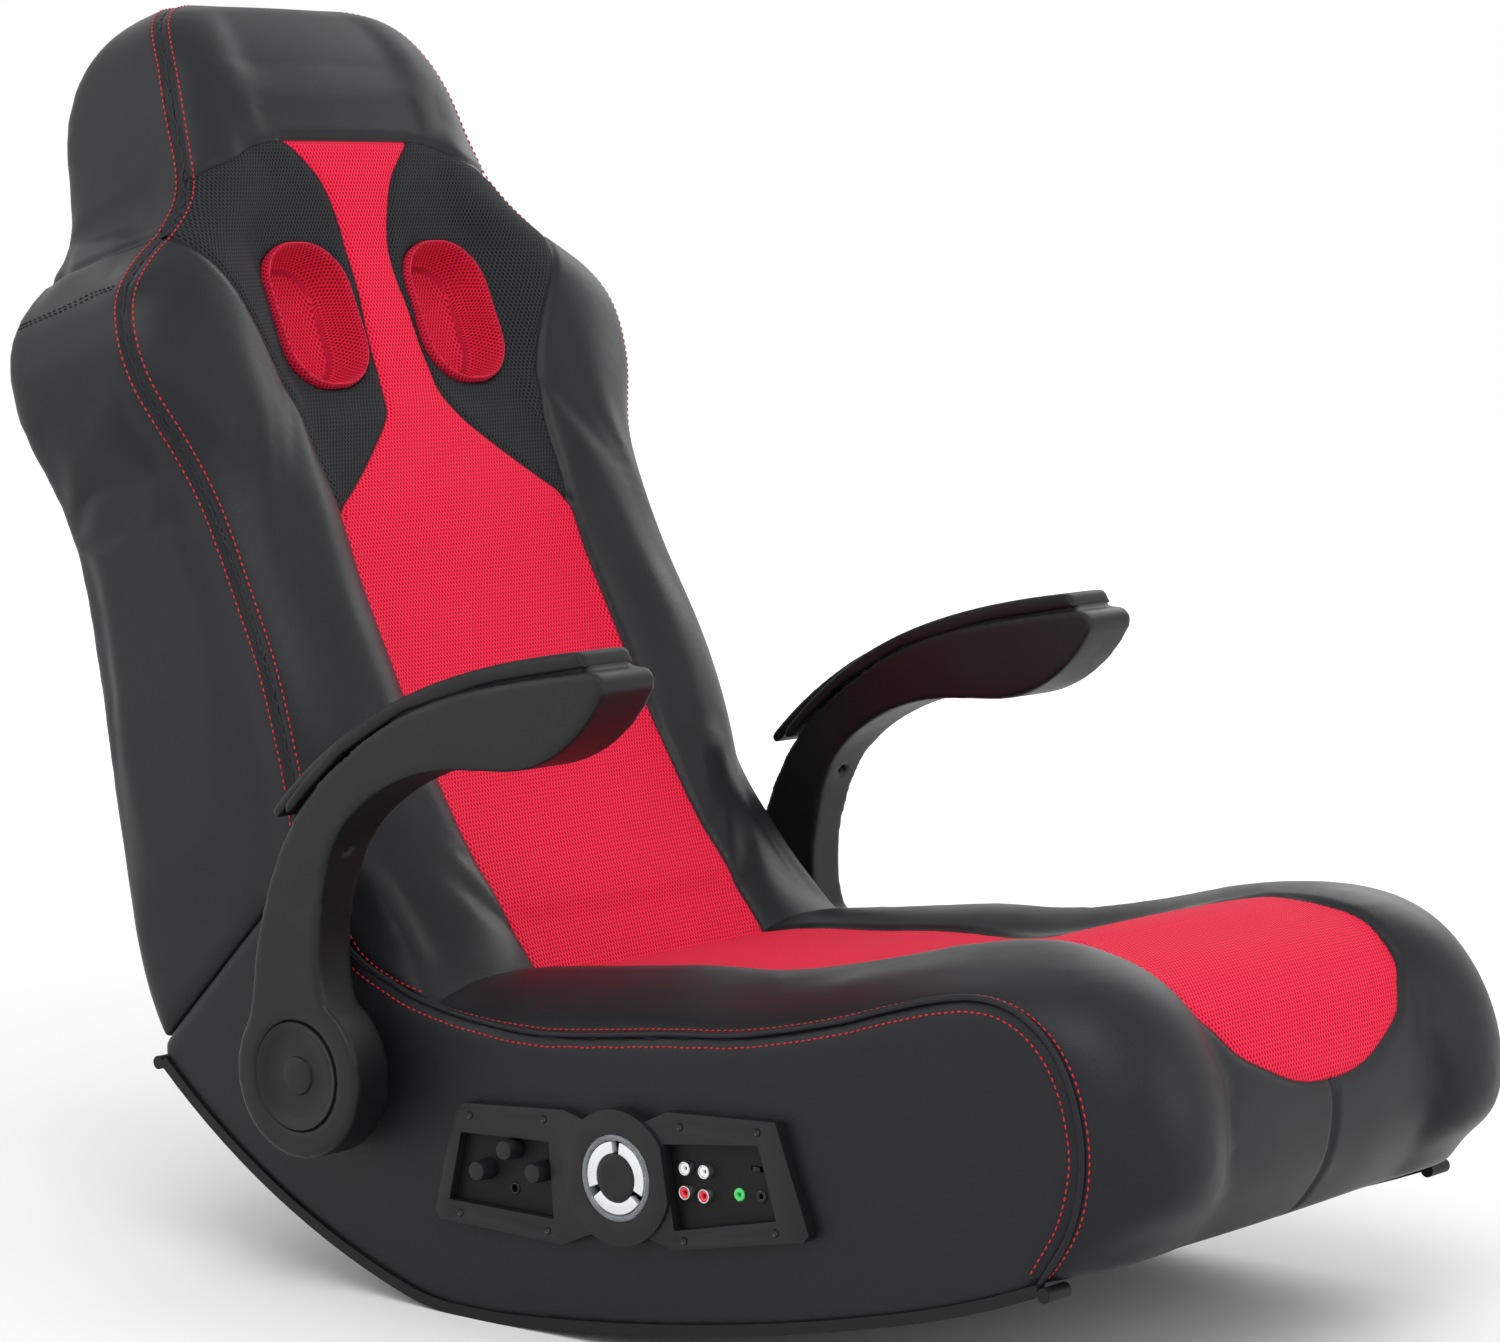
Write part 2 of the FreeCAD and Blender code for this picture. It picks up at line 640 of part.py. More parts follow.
def pocket_solid(start, depth, grow):
    return Part.makeLoft([pocket_wire(start, grow), pocket_wire(depth, grow)], True, True)


def make_pocket():
    """Mesh-lined cup, open to the front."""
    outer = pocket_solid(0.0, POCKET_DEPTH + POCKET_WALL, 0.0)
    inner = pocket_solid(-5.0, POCKET_DEPTH, -POCKET_WALL)
    return outer.cut(inner).Solids[0]


def along_front(depth, u=0.0, v=0.0):
    """A point behind the pocket's face, with the direction into the backrest."""
    lean = math.radians(FRONT_LEAN)
    y = POCKET_FACE_Y + v * math.sin(lean) + depth * math.cos(lean)
    z = POCKET_Z + v * math.cos(lean) - depth * math.sin(lean)
    return side_point(y, z, POCKET_X + u), Vector(0, math.cos(lean), -math.sin(lean))


def make_speaker():
    """Driver behind the pocket: flange, basket and magnet."""
    start, into = along_front(POCKET_DEPTH + POCKET_WALL + 0.2)
    driver = Part.makeCylinder(DRIVER_R, 3.0, start, into)
    basket = Part.makeCone(DRIVER_R - 3, 13.0, DRIVER_DEPTH - 8, start + into * 3.0, into)
    magnet = Part.makeCylinder(17.0, 10.0, start + into * (DRIVER_DEPTH - 6), into)
    return driver.fuse(basket).fuse(magnet).removeSplitter().Solids[0]


def speaker_room():
    start, into = along_front(POCKET_DEPTH)
    return Part.makeCylinder(DRIVER_R + 1.0, 80.0, start, into)


def make_back_cushion():
    pocket = pocket_solid(-60.0, POCKET_DEPTH + POCKET_WALL, CLEAR)
    strap = strap_solid(STRAP_HALF_WIDTH + 1.5, STRAP_INNER - 1.5, STRAP_INNER + STRAP_THICK + 1.5, HINGE_EYE_R)
    foam = back_loft()
    for tool in (base_room(), above_head_seam(0.0), hinge_rod(ROLL_R + 1.0, SEAT_HALF + 5)):
        foam = foam.cut(tool)
    foam = foam.cut(crease_wedge(CREASE_BACK_ANGLE, CREASE_SEAT_ANGLE + 15.0))
    for tool in (pocket, strap, speaker_room()):
        foam = foam.cut(tool).cut(mirrored(tool))
    return max(foam.Solids, key=lambda s: s.Volume)


def head_wire(place, half, bolster, middle, centre_half, rear):
    """Head section: crowned front, upright sides and round rear corners."""
    corner = min(HEAD_CORNER, 0.4 * rear)
    bend = corner * (1 - math.sqrt(0.5))
    bolster_x = half - BOLSTER_SHARE * (half - centre_half)
    side = corner - rear
    edges = [
        Part.Arc(place(half, 0), place(bolster_x, bolster), place(centre_half, middle)).toShape(),
        Part.Arc(place(centre_half, middle), place(0, middle + 2), place(-centre_half, middle)).toShape(),
        Part.Arc(place(-centre_half, middle), place(-bolster_x, bolster), place(-half, 0)).toShape(),
        Part.makeLine(place(-half, 0), place(-half, side)),
        Part.Arc(place(-half, side), place(bend - half, bend - rear), place(corner - half, -rear)).toShape(),
        Part.makeLine(place(corner - half, -rear), place(half - corner, -rear)),
        Part.Arc(place(half - corner, -rear), place(half - bend, bend - rear), place(half, side)).toShape(),
        Part.makeLine(place(half, side), place(half, 0)),
    ]
    return Part.Wire(edges)


def make_head_cushion():
    wires = []
    for seam_y, seam_z, half, depth, bolster, middle in HEAD_ROWS:
        def place(x, rise, seam_y=seam_y, seam_z=seam_z):
            return row_point(seam_y, seam_z, x, -rise)
        centre = min(CENTRE_HALF, BACK_CENTRE_SHARE * half)
        wires.append(head_wire(place, half, bolster, middle, centre, depth))
    head = Part.makeLoft(wires, True, False).common(above_head_seam(CLEAR))
    return max(head.Solids, key=lambda s: s.Volume)


def make_back_cover():
    """Side and rear cover of the backrest, a tray open to the front."""
    room = base_room()
    inner_room = room.copy()
    inner_room.translate(Vector(0, TRAY_WALL, TRAY_WALL))
    inner = tray_loft(TRAY_WALL, FOAM_DEPTH - 20.0).cut(inner_room)
    outer = tray_loft(0.0, FOAM_DEPTH + CLEAR).cut(room).cut(above_head_seam(0.0))
    return max(outer.cut(inner).Solids, key=lambda s: s.Volume)


def pipe(points, radius):
    """A round bar through points, with ball bends."""
    whole = None
    for first, last in zip(points[:-1], points[1:]):
        run = last - first
        piece = Part.makeCylinder(radius, run.Length, first, run)
        whole = piece if whole is None else whole.fuse(piece)
    for point in points[1:-1]:
        whole = whole.fuse(Part.makeSphere(radius, point))
    return whole.removeSplitter().Solids[0]


def tube_rod(radius, beyond):
    """Solid bar along the back tube's line, with its ends this far past the tube's."""
    side = [side_point(y, z, TUBE_HALF) for y, z in TUBE_LINE]
    way = side[0] - side[1]
    side[0] = side[0] + way.normalize() * beyond
    top = [side_point(*TUBE_LINE[-1], -TUBE_HALF)]
    points = side + top + [Vector(-p.x, p.y, p.z) for p in side[::-1][1:]]
    return pipe(points, radius)


def make_back_tube():
    return tube_rod(TUBE_R, 0.0).cut(tube_rod(TUBE_R - TUBE_WALL, 5.0))


def make_bar(z):
    """A cross bar between the side tubes at height z."""
    (y0, z0), (y1, z1) = TUBE_LINE[:2]
    y = y0 + (y1 - y0) * (z - z0) / (z1 - z0)
    reach = TUBE_HALF - TUBE_R * 0.86
    bar = Part.makeCylinder(BAR_R, 2 * reach, side_point(y, z, -reach), Vector(1, 0, 0))
    bore = Part.makeCylinder(BAR_R - TUBE_WALL, 2 * reach, side_point(y, z, -reach), Vector(1, 0, 0))
    return bar.cut(bore).cut(tube_rod(TUBE_R, 0.0))


def sub_bar_z():
    """Height of the bar that the subwoofer hangs from."""
    return SUB_OUTLINE[1][1] + BAR_R + CLEAR


def make_sub_box():
    outer = extruded(polygon(SUB_OUTLINE), -SUB_HALF, SUB_HALF)
    (y0, z0), (y1, z1), (y2, z2), (y3, z3) = SUB_OUTLINE
    wall = SUB_WALL
    inner = ((y0 + wall * 1.4, z0 + wall), (y1 + wall * 0.7, z1 - wall), (y2 - wall, z2 - wall), (y3 - wall, z3 + wall))
    return outer.cut(extruded(polygon(inner), wall - SUB_HALF, SUB_HALF - wall)).cut(sub_driver_room())


def sub_axis():
    (y0, z0), (y1, z1) = SUB_OUTLINE[:2]
    length = math.hypot(y1 - y0, z1 - z0)
    into = Vector(0, (z1 - z0) / length, -(y1 - y0) / length)
    return side_point((y0 + y1) / 2, (z0 + z1) / 2), into


def sub_driver_room():
    centre, into = sub_axis()
    return Part.makeCylinder(SUB_DRIVER_R - 8, 30.0, centre - into * 15, into)


def make_sub_driver():
    centre, into = sub_axis()
    flange = Part.makeCylinder(SUB_DRIVER_R, 4.0, centre - into * 4.2, into)
    cone = Part.makeCone(SUB_DRIVER_R - 9, 20.0, 34.0, centre - into * 0.2, into)
    magnet = Part.makeCylinder(30.0, 14.0, centre + into * 33, into)
    return flange.fuse(cone).fuse(magnet).removeSplitter().Solids[0]


# Arm outline points from the hub's rear tangent, over the top, to the tip
ARM_TOP = ((169.0, 182.0), (158.0, 211.0), (152.5, 250.0), (134.0, 307.0), (103.5, 355.5), (54.0, 399.0),
           (-2.6, 431.4), (-83.9, 456.7), (-171.2, 472.2))
# From the tip back along the underside to the hub's front
ARM_UNDER = ((-180.0, 455.0), (-156.0, 425.8), (-113.9, 403.2), (-68.0, 398.4), (-14.9, 391.7), (33.0, 371.0),
             (68.5, 339.5), (85.0, 300.0), (91.0, 252.0), (85.0, 219.0), (61.0, 192.0))
PAD_TOP = ((114.7, 359.7), (79.2, 394.6), (31.2, 428.7), (-35.6, 457.8), (-106.6, 476.3), (-160.6, 485.4))
PAD_FLOOR = ((113.2, 351.5), (89.8, 373.6), (58.5, 399.7), (-0.7, 433.4), (-82.1, 458.7), (-166.5, 474.6))


def spline(points):
    curve = Part.BSplineCurve()
    curve.interpolate([side_point(y, z) for y, z in points])
    return curve.toShape()


def arm_flank(side, middle, beyond):
    """Room beside the arm's lower part; side is its face there, beyond the face of its upper part."""
    points = ((side, 0.0), (side, TAPER_LOW_Z), (middle, TAPER_HIGH_Z), (beyond, TAPER_HIGH_Z), (beyond, 0.0))
    corners = [side_point(-400.0, z, x) for x, z in points]
    wire = Part.makePolygon(corners + corners[:1])
    return Part.Face(wire).extrude(Vector(0, 800.0, 0))


def make_arm_shell():
    tip = Part.Arc(side_point(*ARM_TOP[-1]), side_point(-182.0, 465.5), side_point(*ARM_UNDER[0])).toShape()
    base = Part.makeLine(side_point(*ARM_UNDER[-1]), side_point(*ARM_TOP[0]))
    outline = Part.Wire([spline(ARM_TOP), tip, spline(ARM_UNDER), base])
    shell = extruded(outline, ARM_INNER, ARM_OUTER)
    shell = shell.fuse(rod(*HUB, HUB_R, ARM_INNER, ARM_OUTER)).removeSplitter()
    shell = shell.cut(arm_flank(LOWER_INNER, ARM_INNER, ARM_INNER - 20.0))
    shell = shell.cut(arm_flank(LOWER_OUTER, ARM_OUTER, ARM_OUTER + 20.0))
    floor = [(y, z - 1.0) for y, z in PAD_FLOOR[2:]]
    trough = [(y + 4.0, z - 20.0) for y, z in floor]
    cavity = extruded(polygon([(y, z + 4.0) for y, z in floor] + trough[::-1]),
                      ARM_INNER + ARM_WALL, ARM_OUTER - ARM_WALL)
    shell = shell.cut(pad_room(0.1)).cut(cavity)
    shell = shell.cut(rod(*HUB, BOLT_R + RUN, ARM_INNER - 5, LOWER_OUTER - 12))
    shell = shell.cut(rod(*HUB, CAP_R + 0.1, LOWER_OUTER - CAP_DEPTH - 2, ARM_OUTER + 5))
    return max(shell.cut(arm_screw_rod(-2.0, ARM_SCREW_DEPTH, 0.1)).Solids, key=lambda s: s.Volume)


def pad_room(grow):
    """Space over the pad's floor line, across the whole arm."""
    floor = [(y, z - grow) for y, z in PAD_FLOOR]
    sky = [(floor[-1][0] - 30.0, floor[-1][1] + 4.0), (floor[-1][0] - 30.0, 560.0), (floor[0][0] + 60.0, 560.0)]
    return extruded(polygon(floor + sky + [(floor[0][0] + 60.0, floor[0][1] - 8.0)]), ARM_INNER - 5, ARM_OUTER + 5)


def make_arm_pad():
    front = Part.makeLine(side_point(*PAD_TOP[-1]), side_point(*PAD_FLOOR[-1]))
    rear = Part.makeLine(side_point(*PAD_FLOOR[0]), side_point(*PAD_TOP[0]))
    floor = Part.makePolygon([side_point(y, z + 0.1) for y, z in PAD_FLOOR[::-1]])
    ends_front = Part.makeLine(side_point(*PAD_TOP[-1]), side_point(PAD_FLOOR[-1][0], PAD_FLOOR[-1][1] + 0.1))
    ends_rear = Part.makeLine(side_point(PAD_FLOOR[0][0], PAD_FLOOR[0][1] + 0.1), side_point(*PAD_TOP[0]))
    outline = Part.Wire(Part.__sortEdges__([spline(PAD_TOP), ends_front, ends_rear] + floor.Edges))
    return extruded(outline, ARM_INNER + PAD_INSET, ARM_OUTER - PAD_INSET)


def make_hub_cap():
    face = LOWER_OUTER
    cap = rod(*HUB, CAP_R, face - CAP_DEPTH - 2, face - 3)
    ring = rod(*HUB, CAP_R, face - 3, face - 1).cut(rod(*HUB, CAP_R - 7, face - 4, face))
    button = rod(*HUB, CAP_BUTTON_R, face - 3, face - 1.5)
    return cap.fuse(ring).fuse(button).removeSplitter().Solids[0]


def make_arm_pivot():
    board_inner = SEAT_HALF - BOARD_THICK - 0.1
    cover_outer = SEAT_HALF + CLEAR + COVER_THICK + 0.1
    bolt = rod(*HUB, BOLT_R, board_inner - 1, LOWER_OUTER - 13)
    head = rod(*HUB, BOLT_HEAD_R, board_inner - 6, board_inner)
    flange = rod(*HUB, BOLT_FLANGE_R, cover_outer, LOWER_INNER - 0.3)
    return bolt.fuse(head).fuse(flange).removeSplitter().Solids[0]


def arm_screw_rod(start, end, grow):
    """A cylinder into the arm's inner bend, between two depths under its surface."""
    y, z = polar(ARM_SCREW, start, ARM_SCREW_TURN)
    x = (LOWER_INNER + LOWER_OUTER) / 2
    return turned_rod(y, z, ARM_SCREW_R + grow, end - start, ARM_SCREW_TURN, x)


def make_arm_screw():
    """Screw head, sunk in its hole."""
    return arm_screw_rod(ARM_SCREW_DEPTH - 3.0, ARM_SCREW_DEPTH - 0.1, 0.0)


def plate(points, face_low, face_high):
    """A panel piece on the -X side, between two distances from the mid-plane."""
    return extruded(polygon(points), -face_high, -face_low)


def knob_hole(y, z, radius):
    return rod(y, z, radius, -PANEL_FACE - 20, -SEAT_HALF + 60)


def make_bezel():
    skin = SEAT_HALF + CLEAR + COVER_THICK + 0.1
    frame = plate(REAR_FRAME, skin, PANEL_FACE).fuse(plate(FRONT_FRAME, skin, PANEL_FACE))
    frame = frame.fuse(rod(*BOSS, BOSS_R, -BOSS_FACE, -skin)).removeSplitter()
    frame = frame.cut(plate(REAR_WINDOW, skin - 5, PANEL_FACE + 5)).cut(plate(FRONT_WINDOW, skin - 5, PANEL_FACE + 5))
    frame = frame.cut(rod(*BOSS, DIAL_R, -BOSS_FACE - 5, -DIAL_FLOOR))
    for y, z in SCREWS:
        frame = frame.cut(rod(y, z, SCREW_R + 0.2, -PANEL_FACE - 5, -PANEL_FACE + 4))
    return frame.Solids[0]


def grown(points, amount):
    """A convex outline with every corner moved away from its middle."""
    middle_y = sum(y for y, _ in points) / len(points)
    middle_z = sum(z for _, z in points) / len(points)
    out = []
    for y, z in points:
        out.append((y + amount * math.copysign(1, y - middle_y), z + amount * math.copysign(1, z - middle_z)))
    return out


def make_window_plate(window, holes):
    skin = SEAT_HALF + CLEAR + COVER_THICK + 0.1
    piece = plate(grown(window, -0.2), skin, skin + PLATE_THICK)
    for y, z, radius in holes:
        piece = piece.cut(knob_hole(y, z, radius))
    return piece


def panel_openings():
    """What the rocker board and the cover leave open behind the two windows and the dial."""
    low = SEAT_HALF - BOARD_THICK - 10
    high = SEAT_HALF + CLEAR + COVER_THICK + 5
    return [plate(grown(window, -AMP_MARGIN), low, high) for window in (REAR_WINDOW, FRONT_WINDOW)]


def plug_holes():
    jacks = [(y, z, RCA_R + 0.2) for y in RCA_COLUMNS for z in (RCA_WHITE_Z, RCA_RED_Z)]
    return jacks + [HEADPHONE_JACK + (JACK_R + 0.2,), LINK_JACK + (JACK_R + 0.2,)]


def make_amplifier():
    """Sound unit behind the side panel, with the shafts that carry the knobs."""
    outer = SEAT_HALF + CLEAR + COVER_THICK
    body_face = SEAT_HALF - BOARD_THICK - 0.3
    body = plate(AMP_OUTLINE, body_face - AMP_DEPTH, body_face)
    for window in (REAR_WINDOW, FRONT_WINDOW):
        body = body.fuse(plate(grown(window, -AMP_MARGIN - 0.3), body_face, outer))
    body = body.removeSplitter()
    for y, z in KNOBS:
        body = body.fuse(rod(y, z, KNOB_SHAFT_R, -PANEL_FACE - 2, -outer + 1))
    for y, z, radius in plug_holes() + [POWER_INLET + (INLET_R + 0.2,)]:
        body = body.cut(rod(y, z, radius, -outer - 5, -outer + JACK_HOLE_DEPTH))
    y, z = SWITCH
    half_y = SWITCH_SIZE[0] / 2 + SWITCH_TRAVEL + 0.5
    half_z = SWITCH_SIZE[1] / 2 + 0.3
    slot = ((y - half_y, z - half_z), (y - half_y, z + half_z), (y + half_y, z + half_z), (y + half_y, z - half_z))
    return body.cut(plate(slot, outer - 4, outer + 5)).Solids[0]


def make_knob(y, z):
    face = SEAT_HALF + CLEAR + COVER_THICK + 0.1 + PLATE_THICK + KNOB_LIFT
    knob = rod(y, z, KNOB_R, -face - KNOB_LENGTH, -face)
    knob = knob.cut(rod(y, z, KNOB_SHAFT_R + RUN, -PANEL_FACE - 2.5, -face + 1))
    mark = plate(((y - 0.6, z + 2.0), (y - 0.6, z + KNOB_R + 1), (y + 0.6, z + KNOB_R + 1), (y + 0.6, z + 2.0)),
                 face + KNOB_LENGTH - 0.8, face + KNOB_LENGTH + 1)
    return knob.cut(mark).Solids[0]


def make_rca(z):
    outer = SEAT_HALF + CLEAR + COVER_THICK
    jacks = []
    for y in RCA_COLUMNS:
        shell = rod(y, z, RCA_R, -outer - RCA_LENGTH, -outer + 6)
        jacks.append(shell.cut(rod(y, z, RCA_CORE_R / 2, -outer - RCA_LENGTH - 1, -outer - RCA_LENGTH + 9)))
    return jacks


def make_round_jack(y, z, radius, hole_radius):
    outer = SEAT_HALF + CLEAR + COVER_THICK
    body = rod(y, z, radius, -outer - JACK_LENGTH, -outer + JACK_HOLE_DEPTH)
    hole = rod(y, z, hole_radius, -outer - JACK_LENGTH - 1, -outer - JACK_LENGTH + JACK_HOLE_DEPTH)
    return body.cut(hole)


def make_switch():
    y, z = SWITCH
    outer = SEAT_HALF + CLEAR + COVER_THICK
    half_y, half_z = SWITCH_SIZE[0] / 2, SWITCH_SIZE[1] / 2
    points = ((y - half_y, z - half_z), (y - half_y, z + half_z), (y + half_y, z + half_z), (y + half_y, z - half_z))
    return plate(points, outer - 3.5, outer + SWITCH_LENGTH)


def make_lens_ring():
    ring = rod(*BOSS, RING_OUT_R, -BOSS_FACE - 1.0, -DIAL_FLOOR - 0.1)
    return ring.cut(rod(*BOSS, RING_IN_R, -BOSS_FACE - 5, -DIAL_FLOOR + 5))


def make_dial_button(centre_degrees):
    start = math.radians(centre_degrees - BUTTON_SWEEP / 2)
    end = math.radians(centre_degrees + BUTTON_SWEEP / 2)
    middle = (start + end) / 2
    def spot(radius, angle):
        return side_point(BOSS[0] + radius * math.cos(angle), BOSS[1] + radius * math.sin(angle))
    edges = [
        Part.Arc(spot(BUTTON_OUT_R, start), spot(BUTTON_OUT_R, middle), spot(BUTTON_OUT_R, end)).toShape(),
        Part.makeLine(spot(BUTTON_OUT_R, end), spot(BUTTON_IN_R, end)),
        Part.Arc(spot(BUTTON_IN_R, end), spot(BUTTON_IN_R, middle), spot(BUTTON_IN_R, start)).toShape(),
        Part.makeLine(spot(BUTTON_IN_R, start), spot(BUTTON_OUT_R, start)),
    ]
    face = BOSS_FACE + 0.5
    return extruded(Part.Wire(edges), -face, -face + BUTTON_DEPTH)


def make_panel_screws():
    return [rod(y, z, SCREW_R, -PANEL_FACE - 1.2, -PANEL_FACE + 3.8) for y, z in SCREWS]


def build_base():
    openings = panel_openings()
    opened = openings[0].fuse(openings[1])
    save("seat_cushion", make_seat_cushion())
    save("seat_deck", make_deck())
    save("front_rail", deck_rail(*FRONT_RAIL))
    save("middle_rail", deck_rail(*MIDDLE_RAIL))
    save("deck_rail", deck_rail(*DECK_RAIL))
    save("rear_rail", make_rear_rail())
    save("crease_roll", make_crease_roll())
    save("bottom_panel", make_bottom_panel())
    save("rocker_board_left", make_board(None))
    save("rocker_board_right", mirrored(make_board(None)).cut(opened))
    save("side_cover_left", make_cover(None))
    save("side_cover_right", mirrored(make_cover(None)).cut(opened))
    save_pair("rocker_trim", make_trim())
    save_pair("seat_hinge", make_seat_hinge())
    save_pair("arm_pivot", make_arm_pivot())


def build_controls():
    save("amplifier", make_amplifier())
    save("control_bezel", make_bezel())
    knob_holes = [(y, z, KNOB_SHAFT_R + 0.5) for y, z in KNOBS]
    save("rear_plate", make_window_plate(REAR_WINDOW, knob_holes + [POWER_INLET + (INLET_R + 0.2,)]))
    front = make_window_plate(FRONT_WINDOW, plug_holes())
    y, z = SWITCH
    half_y = SWITCH_SIZE[0] / 2 + SWITCH_TRAVEL + 0.5
    half_z = SWITCH_SIZE[1] / 2 + 0.3
    slot = ((y - half_y, z - half_z), (y - half_y, z + half_z), (y + half_y, z + half_z), (y + half_y, z - half_z))
    save("front_plate", front.cut(plate(slot, SEAT_HALF - 10, PANEL_FACE + 5)))
    for name, (y, z) in zip(("volume_knob", "bass_knob", "vibration_knob"), KNOBS):
        save(name, make_knob(y, z))
    save("rca_sockets_white", *make_rca(RCA_WHITE_Z))
    save("rca_sockets_red", *make_rca(RCA_RED_Z))
    save("headphone_socket", make_round_jack(*HEADPHONE_JACK, JACK_R, JACK_HOLE_R))
    save("link_socket", make_round_jack(*LINK_JACK, JACK_R, JACK_HOLE_R))
    save("power_inlet", make_round_jack(*POWER_INLET, INLET_R, INLET_HOLE_R))
    save("power_switch", make_switch())
    save("dial_ring", make_lens_ring())
    save("dial_centre", rod(*BOSS, CENTRE_R, -BOSS_FACE - 0.2, -DIAL_FLOOR - 0.1))
    for name, degrees in zip(("dial_button_front", "dial_button_rear", "dial_button_low"), BUTTON_CENTRES):
        save(name, make_dial_button(degrees))
    save("panel_screws", *make_panel_screws())


def build_back():
    save("back_cushion", make_back_cushion())
    save("head_cushion", make_head_cushion())
    save("back_cover", make_back_cover())
    save("back_tube", make_back_tube())
    save("back_cross_bars", make_bar(sub_bar_z()), make_bar(UPPER_BAR_Z))
    save_pair("back_hinge", make_back_hinge())
    save_pair("speaker_pocket", make_pocket())
    save_pair("speaker", make_speaker())
    save("subwoofer_box", make_sub_box())
    save("subwoofer", make_sub_driver())


def build_arms():
    save_pair("arm_shell", make_arm_shell())
    save_pair("arm_pad", make_arm_pad())
    save_pair("hub_cap", make_hub_cap())
    save_pair("arm_screw", make_arm_screw())


os.makedirs("parts", exist_ok=True)
build_base()
build_controls()
build_back()
build_arms()
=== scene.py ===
"""Floor rocker chair: padded covers, seams, arms, trims and controls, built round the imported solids."""

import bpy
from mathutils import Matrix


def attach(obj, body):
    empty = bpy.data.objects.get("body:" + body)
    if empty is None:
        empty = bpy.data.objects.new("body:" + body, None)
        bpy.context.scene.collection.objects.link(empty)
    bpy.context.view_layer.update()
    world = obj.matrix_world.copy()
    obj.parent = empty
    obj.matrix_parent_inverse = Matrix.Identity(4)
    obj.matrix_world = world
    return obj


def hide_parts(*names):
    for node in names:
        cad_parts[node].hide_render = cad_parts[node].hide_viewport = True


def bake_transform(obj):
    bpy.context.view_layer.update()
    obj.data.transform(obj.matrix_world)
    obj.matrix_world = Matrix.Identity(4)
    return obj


bl_info = {
    "name": "Floor Rocker Chair",
    "version": (1, 0, 0),
    "blender": (4, 5, 0),
    "location": "View3D > Sidebar > Rocker Chair",
    "description": "Dresses the solids of a floor rocker chair with covers, seams and finishes",
    "category": "Object",
}

from contextlib import contextmanager
import math

import bmesh
import bpy
import numpy as np
from bpy.props import FloatProperty, FloatVectorProperty, IntProperty, PointerProperty
from mathutils import Matrix, Vector
from mathutils.bvhtree import BVHTree

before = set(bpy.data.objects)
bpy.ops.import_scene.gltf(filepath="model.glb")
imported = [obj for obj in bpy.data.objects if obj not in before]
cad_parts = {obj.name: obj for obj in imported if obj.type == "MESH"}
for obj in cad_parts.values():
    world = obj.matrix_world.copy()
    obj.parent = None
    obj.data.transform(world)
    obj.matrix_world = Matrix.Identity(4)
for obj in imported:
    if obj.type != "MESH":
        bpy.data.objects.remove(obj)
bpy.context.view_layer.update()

# Y of the rocker's low point, which side-view points are measured from, and half the seat's width, in metres
LOW_Y = 0.034
SEAT_HALF = 0.243
SIDES = (("left", 1), ("right", -1))

# The seams, fields and blocks are in mm, with y from the low point and z from the floor.
# Side seam of the seat from the nose to the shoulder of the cradle, (y, z)
SEAT_SEAM = ((-490.7, 97.5), (-515, 138), (-523, 178.8), (-517, 217.4), (-501, 249), (-475.5, 269.2),
             (-445, 276.4), (-406.4, 271), (-360.7, 258), (-325, 246.9), (-247.9, 229.6), (-182.9, 222.5),
             (-79.2, 210.3), (-17.3, 211.3), (30.5, 217.4), (65, 226.6), (115.8, 251), (157.5, 308.9))
# Middle line of the seat's surface, from under the nose to the crease
SEAT_MIDDLE = ((-500, 84), (-525.5, 106.8), (-550.6, 143.6), (-555.9, 181.7), (-548, 228.7), (-522.9, 268),
               (-484.8, 289.1), (-445.9, 294.4), (-403, 288.7), (-355.4, 275.2), (-320.3, 264.3),
               (-245, 246.3), (-181, 240.4), (-78.5, 231.3), (-17.9, 227.3), (30.2, 219.4), (60, 214))
# Edge of the red tongue, (x, y, z)
SEAT_RED = ((0, -553.7, 201), (26, -553.8, 203), (51, -554, 209), (84, -548, 223), (101, -542, 230),
            (114, -534, 245), (124, -525, 255), (130, -511, 268), (134, -493, 282), (132.5, -469, 290),
            (127, -440, 294), (118, -400, 288), (108, -350, 274), (101, -300, 259), (101, -262, 250),
            (108, -233, 245), (119, -200, 242), (126, -160, 239), (128, -104, 235), (128, -22, 228),
            (128, 60, 214))
# Front seam of the backrest, (half width, y, z)
BACK_SEAM = ((243, 31, 217), (243, 65, 226.6), (243, 115.8, 251), (243, 157.5, 309), (243, 166.5, 350),
             (243, 177.8, 392), (240.5, 198, 446), (238, 226, 500), (239.5, 252, 555), (250, 274, 601),
             (269, 288.5, 640), (275.5, 299, 670), (272, 309.5, 700), (257, 319.5, 722), (224, 331, 745),
             (192, 338.5, 768), (172, 347.5, 792), (162, 365, 830), (153, 384, 874), (143, 401, 900),
             (131, 415, 916), (112, 428, 926), (92, 436, 930))
# Half width of the red strip up the back, (half width, z)
BACK_RED = ((129, 190), (129, 290), (129, 350), (129, 450), (127.5, 517), (127, 540), (122, 553), (104, 566),
            (82, 582), (59, 600), (42, 615), (33, 630), (30, 645), (29, 665), (27, 690), (24, 715),
            (23.5, 735), (26, 757), (32, 779), (40, 797), (54, 813), (70, 828))
# Outer edge of the black mesh beside it, (half width, z)
BACK_MESH = ((126, 548), (129, 580), (133, 617), (145, 658), (159, 690), (175, 717), (190, 738), (208, 760),
             (215, 775), (195, 790), (167, 798), (148, 806), (128, 812), (105, 821), (80, 826.5), (50, 828.5),
             (0, 829))
# Screws of the panel frame, (y, z)
SCREWS = ((-13.2, 146.8), (-82.0, 153.1), (-3.8, 76.5), (-85.5, 75.5),
          (-203.9, 163.8), (-270.8, 169.0), (-207.8, 86.5), (-286.4, 103.5))
